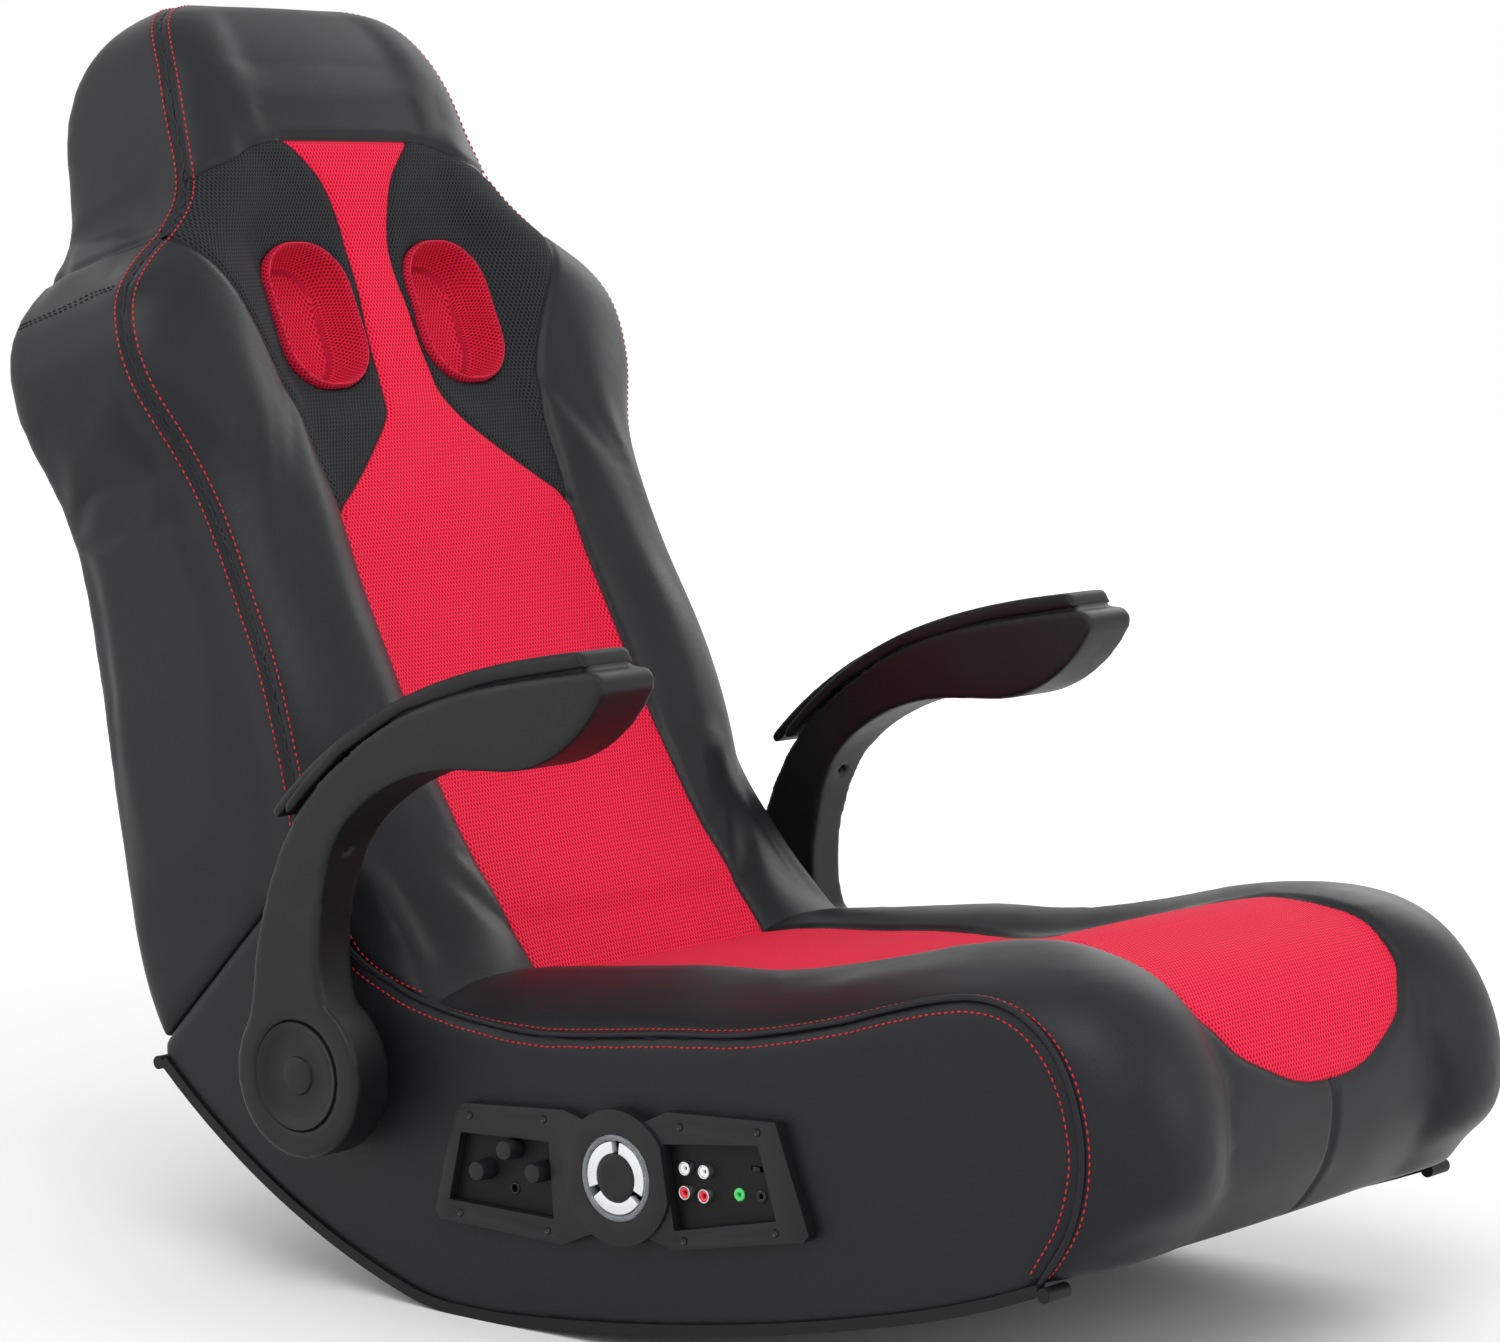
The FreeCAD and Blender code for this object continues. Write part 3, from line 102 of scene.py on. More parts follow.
# Blocks that close the foam's notch at the fold: y, z, direction of the crown in degrees, and how far the
# bolsters and the middle rise
SEAT_BLOCK = ((-140, 217.5, 86, 29, 19.5), (-79.2, 210.3, 88, 29, 21), (-17.3, 211.3, 92, 22, 16),
              (10, 214, 95, 17, 9), (30.5, 217.4, 98, 12, 2), (50, 216, 98, 7, 0))
BACK_BLOCK = ((26, 206, 164, 8, 0), (31, 217, 164, 12, 1), (65, 230, 164, 27, 22), (110, 251, 164, 42, 44),
              (140, 283, 164, 45, 45), (157.5, 309, 164, 46, 44), (166.5, 350, 164, 42, 29))
BLOCK_HALF = 0.2425

# From here on, sizes are in metres. Speaker pocket: its centre, how far it leans back, and its outline
POCKET_X, POCKET_Y, POCKET_Z = 0.077, 0.304 + LOW_Y, 0.694
POCKET_LEAN = math.radians(22.8)
POCKET_HALF_W, POCKET_HALF_H, POCKET_CORNER = 0.043, 0.058, 0.038
# Sections of the pocket's lining from its rim to its floor, (growth of the outline, depth)
POCKET_LINING = ((0.0012, 0.006), (0.0012, -0.0030), (-0.0002, -0.0052), (-0.0020, -0.0046),
                 (-0.0030, -0.0010), (-0.0038, 0.006), (-0.0062, 0.018), (-0.0098, 0.028),
                 (-0.0160, 0.0332), (-0.0270, 0.0338))
# Hinge strap under each bolster: its middle line, (y, z), half width and distance from the mid-plane
STRAP_FOOT, STRAP_TOP = (0.042, 0.202), (0.258, 0.438)
STRAP_HALF, STRAP_X = 0.014, 0.2185
# Bolster: where it starts, how wide it is, and where its crest lies as a share of that width
BOLSTER_START, BOLSTER_WIDTH, BOLSTER_CREST = 0.127, 0.116, 0.62
# Skin of the plates in the panel's windows
PLATE_FACE = -0.2448
# Cell sizes of the remeshed pieces
ARM_VOXEL, QUICK_ARM_VOXEL = 0.0022, 0.003
PANEL_VOXEL = 0.0035
# Thickness of the thread and how far it stands over the cover
THREAD, THREAD_LIFT = 0.0014, 0.0003
# Stored distance of points that lie far outside a field of mesh
OUTSIDE = -0.05
# Radius of the middle of a turned piece, next to nothing
POINT = 0.00005


def quick_or(fine):
    return fine


def sizes():
    return bpy.context.scene.rocker_sizes


# Geometry helpers

def link(name, data):
    obj = bpy.data.objects.new(name, data)
    bpy.context.scene.collection.objects.link(obj)
    return obj


def to_mesh(name, bm):
    mesh = bpy.data.meshes.new(name)
    bm.to_mesh(mesh)
    bm.free()
    return mesh


def shade_smooth(mesh):
    mesh.polygons.foreach_set("use_smooth", [True] * len(mesh.polygons))


def node_copy(name):
    """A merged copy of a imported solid's mesh."""
    bm = bmesh.new()
    bm.from_mesh(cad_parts[name].data)
    bmesh.ops.remove_doubles(bm, verts=bm.verts, dist=1e-5)
    return bm


def add_object(name, bm):
    """Turn a bmesh into a smooth-shaded object at the origin."""
    mesh = to_mesh(name, bm)
    shade_smooth(mesh)
    return link(name, mesh)


def pour(bm, part):
    """Add one bmesh to another."""
    mesh = to_mesh("part", part)
    bm.from_mesh(mesh)
    bpy.data.meshes.remove(mesh)


@contextmanager
def mesh_edit(obj):
    """The object's mesh as a bmesh, written back at the end."""
    bm = bmesh.new()
    bm.from_mesh(obj.data)
    yield bm
    bm.to_mesh(obj.data)
    bm.free()
    obj.data.update()


def modify(obj, kind, **settings):
    """Apply one modifier to the mesh."""
    step = obj.modifiers.new(kind.title(), kind)
    for label, value in settings.items():
        setattr(step, label, value)
    graph = bpy.context.evaluated_depsgraph_get()
    mesh = bpy.data.meshes.new_from_object(obj.evaluated_get(graph))
    old = obj.data
    obj.modifiers.clear()
    obj.data = mesh
    bpy.data.meshes.remove(old)
    shade_smooth(mesh)
    mesh.update()


def remesh(obj, size):
    modify(obj, "REMESH", mode="VOXEL", voxel_size=size)


def subdivide(obj):
    modify(obj, "SUBSURF", levels=1, render_levels=1)


def relax(bm, verts, rounds, axes="xyz"):
    for _ in range(rounds):
        bmesh.ops.smooth_vert(bm, verts=verts, factor=0.5, use_axis_x="x" in axes, use_axis_y="y" in axes,
                              use_axis_z="z" in axes)


def smooth(obj, rounds):
    with mesh_edit(obj) as bm:
        relax(bm, bm.verts, rounds)


def keep_largest(obj):
    """Remove all but the largest connected part, such as the hollow inside a shell."""
    with mesh_edit(obj) as bm:
        bm.verts.ensure_lookup_table()
        seen = set()
        best = []
        for start in bm.verts:
            if start.index in seen:
                continue
            part = [start]
            seen.add(start.index)
            for vert in part:
                for edge in vert.link_edges:
                    other = edge.other_vert(vert)
                    if other.index not in seen:
                        seen.add(other.index)
                        part.append(other)
            best = max(best, part, key=len)
        kept = {v.index for v in best}
        bmesh.ops.delete(bm, geom=[v for v in bm.verts if v.index not in kept], context="VERTS")


def thicken(bm, shift):
    """Give a skin a thickness; shift gives the offset of the copy of each vertex."""
    ways = {tuple(vert.co): shift(vert) for vert in bm.verts}
    grown = bmesh.ops.extrude_face_region(bm, geom=list(bm.faces))
    for item in grown["geom"]:
        if isinstance(item, bmesh.types.BMVert):
            item.co += ways[tuple(item.co)]
    bmesh.ops.recalc_face_normals(bm, faces=bm.faces)


def fill_holes(bm):
    bmesh.ops.holes_fill(bm, edges=[e for e in bm.edges if e.is_boundary], sides=0)
    bmesh.ops.recalc_face_normals(bm, faces=bm.faces)


def read_vectors(items, field):
    out = np.zeros(len(items) * 3, np.float32)
    items.foreach_get(field, out)
    return out.reshape(-1, 3).astype(float)


def coordinates(obj):
    return read_vectors(obj.data.vertices, "co")


def normals(obj):
    return read_vectors(obj.data.vertex_normals, "vector")


def set_coordinates(obj, co):
    obj.data.vertices.foreach_set("co", co.astype(np.float32).ravel())
    obj.data.update()


def cloth_puff(obj, free, cap, frames):
    """Blow the cover up over the padding; free is 1 where it may move and 0 where it is sewn down."""
    rest = coordinates(obj)
    group = obj.vertex_groups.new(name="sewn")
    weights = np.clip(1.0 - free, 0, 1)
    for level in np.unique(np.round(weights, 1)):
        chosen = np.nonzero(np.abs(weights - level) <= 0.05)[0]
        group.add([int(i) for i in chosen], float(level), "REPLACE")
    cloth = obj.modifiers.new("Cloth", "CLOTH")
    settings = cloth.settings
    settings.quality = 3
    settings.mass = 0.25
    settings.tension_stiffness = 15
    settings.compression_stiffness = 15
    settings.shear_stiffness = 6
    settings.bending_stiffness = 8.0
    settings.use_pressure = True
    settings.uniform_pressure_force = 4.0
    settings.effector_weights.gravity = 0
    settings.vertex_group_mass = group.name
    cloth.point_cache.frame_start = 1
    cloth.point_cache.frame_end = frames
    scene = bpy.context.scene
    for number in range(1, frames + 1):
        scene.frame_set(number)
    graph = bpy.context.evaluated_depsgraph_get()
    moved = coordinates(obj.evaluated_get(graph))
    obj.modifiers.clear()
    obj.vertex_groups.clear()
    scene.frame_set(1)
    outward = normals(obj)
    deepest_dent = 0.0004
    swell = np.clip(((moved - rest) * outward).sum(1), -deepest_dent, cap)
    set_coordinates(obj, rest + outward * (swell * np.minimum(free * 2.0, 1.0))[:, None])


def in_side_view(y, z):
    """Side-view millimetres into metres in the chair's frame."""
    return y / 1000 + LOW_Y, z / 1000


def side(points):
    return np.array([in_side_view(y, z) for y, z in points])


def ramp(values, start, run):
    """0 up to start, 1 after a further run, and straight between."""
    return np.clip((values - start) / run, 0, 1)


def curve_through(points, count):
    """Evenly spaced points on a smooth curve through the given ones (Catmull-Rom)."""
    p = np.array(points, float)
    p = np.vstack([2 * p[0] - p[1], p, 2 * p[-1] - p[-2]])
    fine = []
    for i in range(1, len(p) - 2):
        for t in np.linspace(0, 1, 24, endpoint=False):
            a, b, c, d = p[i - 1:i + 3]
            fine.append(0.5 * (2 * b + (c - a) * t + (2 * a - 5 * b + 4 * c - d) * t * t
                               + (3 * b - a - 3 * c + d) * t ** 3))
    fine.append(p[-2])
    fine = np.array(fine)
    run = np.concatenate([[0], np.cumsum(np.linalg.norm(np.diff(fine, axis=0), axis=1))])
    want = np.linspace(0, run[-1], count)
    return np.stack([np.interp(want, run, fine[:, k]) for k in range(fine.shape[1])], 1)


def nearest_on_line(points, line):
    """Distance of points from a line, and how far along it their nearest points lie."""
    best = np.full(len(points), 1e9)
    along = np.zeros(len(points))
    start = 0.0
    for a, b in zip(line[:-1], line[1:]):
        ab = b - a
        length = math.hypot(*ab)
        if length < 1e-9:
            continue
        t = np.clip(((points - a) @ ab) / (length * length), 0, 1)
        gap = np.linalg.norm(points - a - t[:, None] * ab, axis=1)
        closer = gap < best
        best[closer] = gap[closer]
        along[closer] = start + t[closer] * length
        start += length
    return best, along


def distance_inside(points, outline):
    """Signed distance of 2-D points from a closed outline, positive inside."""
    closed = np.vstack([outline, outline[:1]])
    gap, _ = nearest_on_line(points, closed)
    inside = np.zeros(len(points), bool)
    for (x0, y0), (x1, y1) in zip(closed[:-1], closed[1:]):
        crosses = (y0 > points[:, 1]) != (y1 > points[:, 1])
        x = x0 + (points[:, 1] - y0) * (x1 - x0) / (y1 - y0 if y1 != y0 else 1e-12)
        inside ^= crosses & (points[:, 0] < x)
    return np.where(inside, gap, -gap)


def store(obj, name, values):
    attribute = obj.data.attributes.new(name, "FLOAT", "POINT")
    attribute.data.foreach_set("value", values.astype(np.float32))


def store_uv(obj, u, v):
    layer = obj.data.uv_layers.new(name="chart")
    corners = np.zeros(len(obj.data.loops), np.int32)
    obj.data.loops.foreach_get("vertex_index", corners)
    layer.data.foreach_set("uv", np.stack([u[corners], v[corners]], 1).astype(np.float32).ravel())


def groove(distance, depth, width):
    return depth * np.exp(-(distance / width) ** 2)


def surface_of(obj):
    bm = bmesh.new()
    bm.from_mesh(obj.data)
    tree = BVHTree.FromBMesh(bm)
    bm.free()
    return tree


def snapped(tree, points):
    """Nearest surface points and their normals."""
    found = [tree.find_nearest(Vector(p)) for p in points]
    return np.array([tuple(place) for place, *_ in found]), np.array([tuple(way) for _, way, *_ in found])


def stitch_row(bm, tree, path, width=THREAD, lift=THREAD_LIFT):
    """Thread stitches along a path on a surface, as copies of one small capsule."""
    pitch, length = sizes().stitch_pitch, sizes().stitch_length
    one = bmesh.new()
    bmesh.ops.create_uvsphere(one, u_segments=6, v_segments=4, radius=1.0)
    shape = np.array([v.co for v in one.verts]) * (length / 2, width / 2, width / 2)
    faces = [[v.index for v in f.verts] for f in one.faces]
    one.free()
    run = np.linalg.norm(np.diff(path, axis=0), axis=1).sum()
    places, ways = snapped(tree, curve_through(path, max(int(run / pitch), 2)))
    for _ in range(3):
        places[1:-1] = (places[:-2] + 2 * places[1:-1] + places[2:]) / 4
        ways[1:-1] = (ways[:-2] + ways[1:-1] + ways[2:]) / 3
    for before, place, after, way in zip(places[:-2], places[1:-1], places[2:], ways[1:-1]):
        ahead = after - before
        size = np.linalg.norm(ahead)
        if size < 1e-6 or size > pitch * 4:
            continue
        ahead = ahead / size
        up = way - ahead * (way @ ahead)
        up = up / np.linalg.norm(up)
        across = np.cross(up, ahead)
        spots = place + up * lift + shape @ np.array([ahead, across, up])
        verts = [bm.verts.new(p) for p in spots]
        for face in faces:
            bm.faces.new([verts[i] for i in face])


def tube(name, points, radius):
    """A round cord through points, as a mesh."""
    curve = bpy.data.curves.new(name, "CURVE")
    curve.dimensions = "3D"
    curve.bevel_depth = radius
    curve.bevel_resolution = 3
    curve.use_fill_caps = True
    spline = curve.splines.new("POLY")
    spline.points.add(len(points) - 1)
    for spot, p in zip(spline.points, points):
        spot.co = (*p, 1.0)
    holder = link(name, curve)
    graph = bpy.context.evaluated_depsgraph_get()
    mesh = bpy.data.meshes.new_from_object(holder.evaluated_get(graph))
    bpy.data.objects.remove(holder)
    bpy.data.curves.remove(curve)
    shade_smooth(mesh)
    return link(name, mesh)


def spun(name, profile, axis_y, axis_z, steps):
    """A turned piece round an X axis; profile is (x, radius), from its outer face inwards."""
    bm = bmesh.new()
    verts = [bm.verts.new((x, axis_y, axis_z + radius)) for x, radius in profile]
    edges = [bm.edges.new(pair) for pair in zip(verts[:-1], verts[1:])]
    bmesh.ops.spin(bm, geom=verts + edges, cent=(0, axis_y, axis_z), axis=(1, 0, 0), angle=math.tau,
                   steps=steps, use_merge=True)
    bmesh.ops.remove_doubles(bm, verts=bm.verts, dist=1e-6)
    bmesh.ops.recalc_face_normals(bm, faces=bm.faces)
    return add_object(name, bm)


def sharp_edges(obj, degrees):
    """Keep hard edges crisp on a smooth-shaded piece."""
    with mesh_edit(obj) as bm:
        for edge in bm.edges:
            edge.smooth = edge.calc_face_angle(0) < math.radians(degrees)


def bevelled(name, node, width, segments=2):
    """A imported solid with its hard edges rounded."""
    bm = node_copy(node)
    bmesh.ops.dissolve_limit(bm, angle_limit=math.radians(0.6), verts=bm.verts, edges=bm.edges)
    obj = add_object(name, bm)
    modify(obj, "BEVEL", width=width, segments=segments, limit_method="ANGLE", angle_limit=math.radians(35))
    sharp_edges(obj, 50)
    return obj


# Materials

def feed(tree, socket, value):
    """Link a socket to an output, or set its constant."""
    if isinstance(value, bpy.types.NodeSocket):
        tree.links.new(value, socket)
    elif socket.type == "RGBA":
        socket.default_value = (*value[:3], 1.0)
    else:
        socket.default_value = value


def feed_all(tree, node, values):
    for label, value in values.items():
        feed(tree, node.inputs[label], value)


def add_node(tree, kind, inputs=(), **settings):
    """A shader node with its settings made and its inputs, given as (name or number, value), fed."""
    node = tree.nodes.new("ShaderNode" + kind)
    for label, value in settings.items():
        setattr(node, label, value)
    for label, value in inputs:
        feed(tree, node.inputs[label], value)
    return node


def math_node(tree, operation, *values):
    return add_node(tree, "Math", enumerate(values), operation=operation).outputs[0]


def vector_node(tree, operation, *values):
    node = add_node(tree, "VectorMath", enumerate(values), operation=operation)
    return node.outputs["Value" if operation == "LENGTH" else "Vector"]


def map_range(tree, value, low, high, to_low=0.0, to_high=1.0, kind="SMOOTHSTEP"):
    ends = (("Value", value), ("From Min", low), ("From Max", high), ("To Min", to_low), ("To Max", to_high))
    return add_node(tree, "MapRange", ends, interpolation_type=kind).outputs["Result"]


def noise(tree, vector, scale, detail, roughness=0.5):
    inputs = (("Vector", vector), ("Scale", scale), ("Detail", detail), ("Roughness", roughness))
    return add_node(tree, "TexNoise", inputs).outputs["Fac"]


def mix_colour(tree, fac, a, b):
    return add_node(tree, "Mix", ((0, fac), (6, a), (7, b)), data_type="RGBA").outputs[2]


def mix_value(tree, fac, a, b):
    return add_node(tree, "Mix", ((0, fac), (2, a), (3, b)), data_type="FLOAT").outputs[0]


def new_group(name, scale_label, scale, results):
    """A node group from a vector and one scale to a few values; returns its tree, inputs and outputs."""
    tree = bpy.data.node_groups.new(name, "ShaderNodeTree")
    tree.interface.new_socket(name="Vector", in_out="INPUT", socket_type="NodeSocketVector")
    knob = tree.interface.new_socket(name=scale_label, in_out="INPUT", socket_type="NodeSocketFloat")
    knob.default_value = scale
    for label in results:
        tree.interface.new_socket(name=label, in_out="OUTPUT", socket_type="NodeSocketFloat")
    return tree, tree.nodes.new("NodeGroupInput").outputs, tree.nodes.new("NodeGroupOutput")


def leather_group():
    """Fine pebbled grain with shallow creases, as a height and a slow shine variation."""
    tree, given, end = new_group("Leather Grain", "Grain Scale", 620.0, ("Height", "Shine"))
    cells = add_node(tree, "TexVoronoi", (("Vector", given["Vector"]), ("Scale", given["Grain Scale"])),
                     feature="DISTANCE_TO_EDGE")
    pebble = map_range(tree, cells.outputs["Distance"], 0.0, 0.22)
    soft = noise(tree, given["Vector"], 45.0, 4.0, 0.55)
    feed_all(tree, end, {"Height": math_node(tree, "MULTIPLY_ADD", soft, 1.4, pebble),
                         "Shine": noise(tree, given["Vector"], 9.0, 2.0)})


def mesh_group():
    """Knitted spacer mesh: rows of small holes in a hexagonal pattern, from chart coordinates in metres."""
    tree, given, end = new_group("Spacer Mesh", "Pitch", 0.0031, ("Hole", "Height"))
    row_pitch = math_node(tree, "MULTIPLY", given["Pitch"], 1.9)
    pitch = add_node(tree, "CombineXYZ", ((0, given["Pitch"]), (1, row_pitch), (2, 1.0)))
    scaled = vector_node(tree, "DIVIDE", given["Vector"], pitch.outputs[0])
    gaps = []
    for shift in ((0.0, 0.0, 0.0), (0.5, 0.5, 0.0)):
        moved = vector_node(tree, "ADD", scaled, shift)
        cell = vector_node(tree, "SUBTRACT", vector_node(tree, "FRACTION", moved), (0.5, 0.5, 0.0))
        gaps.append(vector_node(tree, "LENGTH", vector_node(tree, "MULTIPLY", cell, (1.0, 1.25, 0.0))))
    near = math_node(tree, "MINIMUM", *gaps)
    feed_all(tree, end, {"Hole": map_range(tree, near, 0.20, 0.37, 1.0, 0.0),
                         "Height": map_range(tree, near, 0.08, 0.46)})


def plastic_group():
    """Fine moulded texture with faint rub marks."""
    tree, given, end = new_group("Moulded Texture", "Scale", 1400.0, ("Height", "Rub"))
    feed_all(tree, end, {"Height": noise(tree, given["Vector"], given["Scale"], 2.0),
                         "Rub": noise(tree, given["Vector"], 22.0, 5.0, 0.65)})


def blank_material(name):
    """A new material, with its tree, shader and texture coordinates."""
    made = bpy.data.materials.new(name)
    made.use_nodes = True
    tree = made.node_tree
    return made, tree, tree.nodes["Principled BSDF"], add_node(tree, "TexCoord").outputs


def group_outputs(tree, name, vector, label, value):
    group = bpy.data.node_groups[name]
    return add_node(tree, "Group", (("Vector", vector), (label, value)), node_tree=group).outputs


def bump(tree, shader, height, strength, distance):
    node = add_node(tree, "Bump", (("Strength", strength), ("Distance", distance), ("Height", height)))
    feed(tree, shader.inputs["Normal"], node.outputs["Normal"])


def darker(colour, share):
    return tuple(c * share for c in colour)


def paler(colour, share, lift):
    return tuple(min(1.0, c * share + lift) for c in colour)


def leather_look(tree, place, finish):
    """Height, colour and roughness of the coated cover."""
    grain = group_outputs(tree, "Leather Grain", place["Object"], "Grain Scale", finish.grain_scale)
    dark = finish.leather_colour
    colour = mix_colour(tree, grain["Shine"], dark, paler(dark, 1.6, 0.0006))
    rough = finish.leather_rough
    rough = map_range(tree, grain["Shine"], 0.3, 0.7, rough - 0.05, rough + 0.07)
    return grain["Height"], colour, rough


def leather(tree, shader, place, finish):
    height, colour, rough = leather_look(tree, place, finish)
    feed_all(tree, shader, {"Base Color": colour, "Roughness": rough,
                            "Specular IOR Level": finish.leather_specular})
    bump(tree, shader, height, 0.35, 0.0002)


def upholstery(tree, shader, place, finish):
    """Leather with red and black mesh fields, split where the stored distances change sign."""
    height, colour, rough = leather_look(tree, place, finish)
    weave = group_outputs(tree, "Spacer Mesh", place["UV"], "Pitch", finish.mesh_pitch)
    masks = []
    edges = []
    for label in ("red_edge", "mesh_edge"):
        distance = add_node(tree, "Attribute", attribute_name=label).outputs["Fac"]
        masks.append(map_range(tree, distance, -0.0004, 0.0004))
        edges.append(map_range(tree, math_node(tree, "ABSOLUTE", distance), 0.0003, 0.0016, 1.0, 0.0))
    cloth = math_node(tree, "MAXIMUM", *masks)
    line = math_node(tree, "MAXIMUM", *edges)
    red_yarn = finish.red_colour
    # The holes of the red and black mesh are coloured darker: painted shade inside the holes.
    red_field = mix_colour(tree, weave["Hole"], red_yarn, darker(red_yarn, 0.30))
    black_field = mix_colour(tree, weave["Hole"], finish.black_mesh_colour, (0.002, 0.002, 0.0025))
    field = mix_colour(tree, masks[0], black_field, red_field)
    both = mix_colour(tree, cloth, colour, field)
    # A near-black line along each field's edge: painted shade in the pressed seam grooves.
    seam = mix_colour(tree, math_node(tree, "MULTIPLY", line, 0.75), both, (0.004, 0.002, 0.003))
    feed_all(tree, shader, {"Base Color": seam, "Roughness": mix_value(tree, cloth, rough, 0.82),
                            "Specular IOR Level": finish.leather_specular})
    grain_height = math_node(tree, "MULTIPLY", height, 0.10)
    bump(tree, shader, mix_value(tree, cloth, grain_height, weave["Height"]), 0.7, 0.0005)


def pocket_mesh(tree, shader, place, finish):
    weave = group_outputs(tree, "Spacer Mesh", place["UV"], "Pitch", finish.mesh_pitch)
    # The lining's red is darkened to 0.82 of the mesh's red: painted shade inside the pocket. Its holes are
    # darker again: painted shade in the holes.
    yarn_in_pocket_shade = darker(finish.red_colour, 0.82)
    feed_all(tree, shader, {"Base Color": mix_colour(tree, weave["Hole"], yarn_in_pocket_shade, darker(yarn_in_pocket_shade, 0.28)),
                            "Roughness": 0.82, "Specular IOR Level": 0.25})
    bump(tree, shader, weave["Height"], 0.7, 0.0005)


def moulded(tree, shader, place, colour, rough, specular, depth, strength, scale, metallic=0.0):
    texture = group_outputs(tree, "Moulded Texture", place["Object"], "Scale", scale)
    rub = texture["Rub"]
    feed_all(tree, shader, {"Base Color": mix_colour(tree, rub, colour, paler(colour, 1.3, 0.0008)),
                            "Roughness": map_range(tree, rub, 0.3, 0.7, rough - 0.05, rough + 0.06),
                            "Specular IOR Level": specular, "Metallic": metallic})
    bump(tree, shader, texture["Height"], strength, depth)


def stained_board(tree, shader, place, finish):
    """Dark board with its grain stretched along Y."""
    stretch = add_node(tree, "Mapping", (("Scale", (18.0, 2.2, 18.0)), ("Vector", place["Object"])))
    lines = noise(tree, stretch.outputs["Vector"], 3.0, 6.0, 0.6)
    stain = (0.022, 0.019, 0.017)
    feed_all(tree, shader, {"Base Color": mix_colour(tree, lines, darker(stain, 0.6), stain),
                            "Roughness": 0.75})
    bump(tree, shader, lines, 0.2, 0.0003)


def clear(tree, shader, place, finish):
    cloud = noise(tree, place["Object"], 60.0, 2.0)
    feed_all(tree, shader, {"Roughness": map_range(tree, cloud, 0.3, 0.7, 0.05, 0.10),
                            "Base Color": (0.72, 0.78, 0.84), "Transmission Weight": 0.85, "IOR": 1.46})


RECIPES = {"Cover Leather": leather, "Cover Upholstery": upholstery, "Pocket Mesh": pocket_mesh,
           "Stained Board": stained_board, "Clear Ring": clear}
# Colour or the finish setting that holds it, roughness, gloss, then the texture's depth, strength and scale,
# and how metallic it is
MOULDED = {
    "Arm Moulding": ("plastic_colour", 0.44, 0.26, 0.00008, 0.3, 900.0),
    "Pad Skin": ((0.005, 0.005, 0.0056), 0.52, 0.24, 0.00015, 0.35, 700.0),
    "Panel Moulding": ((0.0075, 0.0078, 0.0088), 0.38, 0.26, 0.00005, 0.25, 1600.0),
    "Plate Moulding": ((0.0035, 0.0036, 0.0042), 0.5, 0.18, 0.00005, 0.2, 1600.0),
    "Gloss Black": ((0.004, 0.004, 0.0045), 0.2, 0.3, 0.00001, 0.1, 400.0),
    "Trim Rubber": ((0.005, 0.005, 0.0052), 0.5, 0.22, 0.0002, 0.4, 500.0),
    "Thread Red": ("thread_colour", 0.6, 0.3, 0.0001, 0.4, 2500.0),
    "Thread Black": ((0.006, 0.006, 0.007), 0.6, 0.3, 0.0001, 0.4, 2500.0),
    "Dial Silver": ((0.62, 0.63, 0.65), 0.3, 0.5, 0.00003, 0.15, 1800.0, 0.4),
    "Plated Steel": ((0.55, 0.55, 0.57), 0.28, 0.5, 0.00002, 0.1, 900.0, 1.0),
    "Painted Tube": ((0.02, 0.02, 0.02), 0.4, 0.5, 0.00004, 0.2, 700.0),
    "Socket White": ((0.82, 0.82, 0.80), 0.3, 0.5, 0.00002, 0.1, 900.0),
    "Socket Red": ((0.62, 0.02, 0.03), 0.3, 0.5, 0.00002, 0.1, 900.0),
    "Socket Green": ((0.05, 0.50, 0.12), 0.3, 0.5, 0.00002, 0.1, 900.0),
    "Screw Head": ((0.02, 0.02, 0.021), 0.38, 0.4, 0.00003, 0.2, 900.0, 0.4),
    "Cone Paper": ((0.03, 0.03, 0.032), 0.8, 0.3, 0.0002, 0.5, 600.0),
    "Bottom Fleece": ((0.012, 0.012, 0.013), 0.9, 0.2, 0.0004, 0.6, 450.0),
}


def material(name):
    """A finish by name, made when first asked for."""
    made = bpy.data.materials.get(name)
    if made:
        return made
    finish = bpy.context.scene.rocker_finish
    made, tree, shader, place = blank_material(name)
    if name in RECIPES:
        RECIPES[name](tree, shader, place, finish)
    else:
        colour, *rest = MOULDED[name]
        if isinstance(colour, str):
            colour = getattr(finish, colour)
        moulded(tree, shader, place, tuple(colour), *rest)
    return made


def dress(obj, name):
    obj.data.materials.clear()
    obj.data.materials.append(material(name))


def dress_node(node, name):
    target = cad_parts[node]
    for holder in target.material_slots:
        holder.material = material(name)
    if not target.material_slots:
        target.data.materials.append(material(name))


def fit(obj, name, slot, body, *nodes):
    """Dress a rigid piece, hide the solids that it stands for and tie it to its body."""
    dress(obj, name)
    if nodes:
        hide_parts(*nodes)
    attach(obj, body)


# Finished surfaces that later operators lay seams on
surfaces = {}


def seam_path_back(sign):
    """The back's front seam on one side, in metres."""
    return np.array([(sign * w / 1000, *in_side_view(y, z)) for w, y, z in BACK_SEAM])


def crown(x, bolster, middle):
    """Height of a cushion's surface over its seam at a distance x from the mid-plane."""
    t = ramp(np.abs(x), BOLSTER_START, BOLSTER_WIDTH)
    m = BOLSTER_CREST
    curve = middle * (t - m) * (t - 1) / m + bolster * t * (t - 1) / (m * (m - 1))
    return np.where(np.abs(x) < BOLSTER_START, middle, curve)


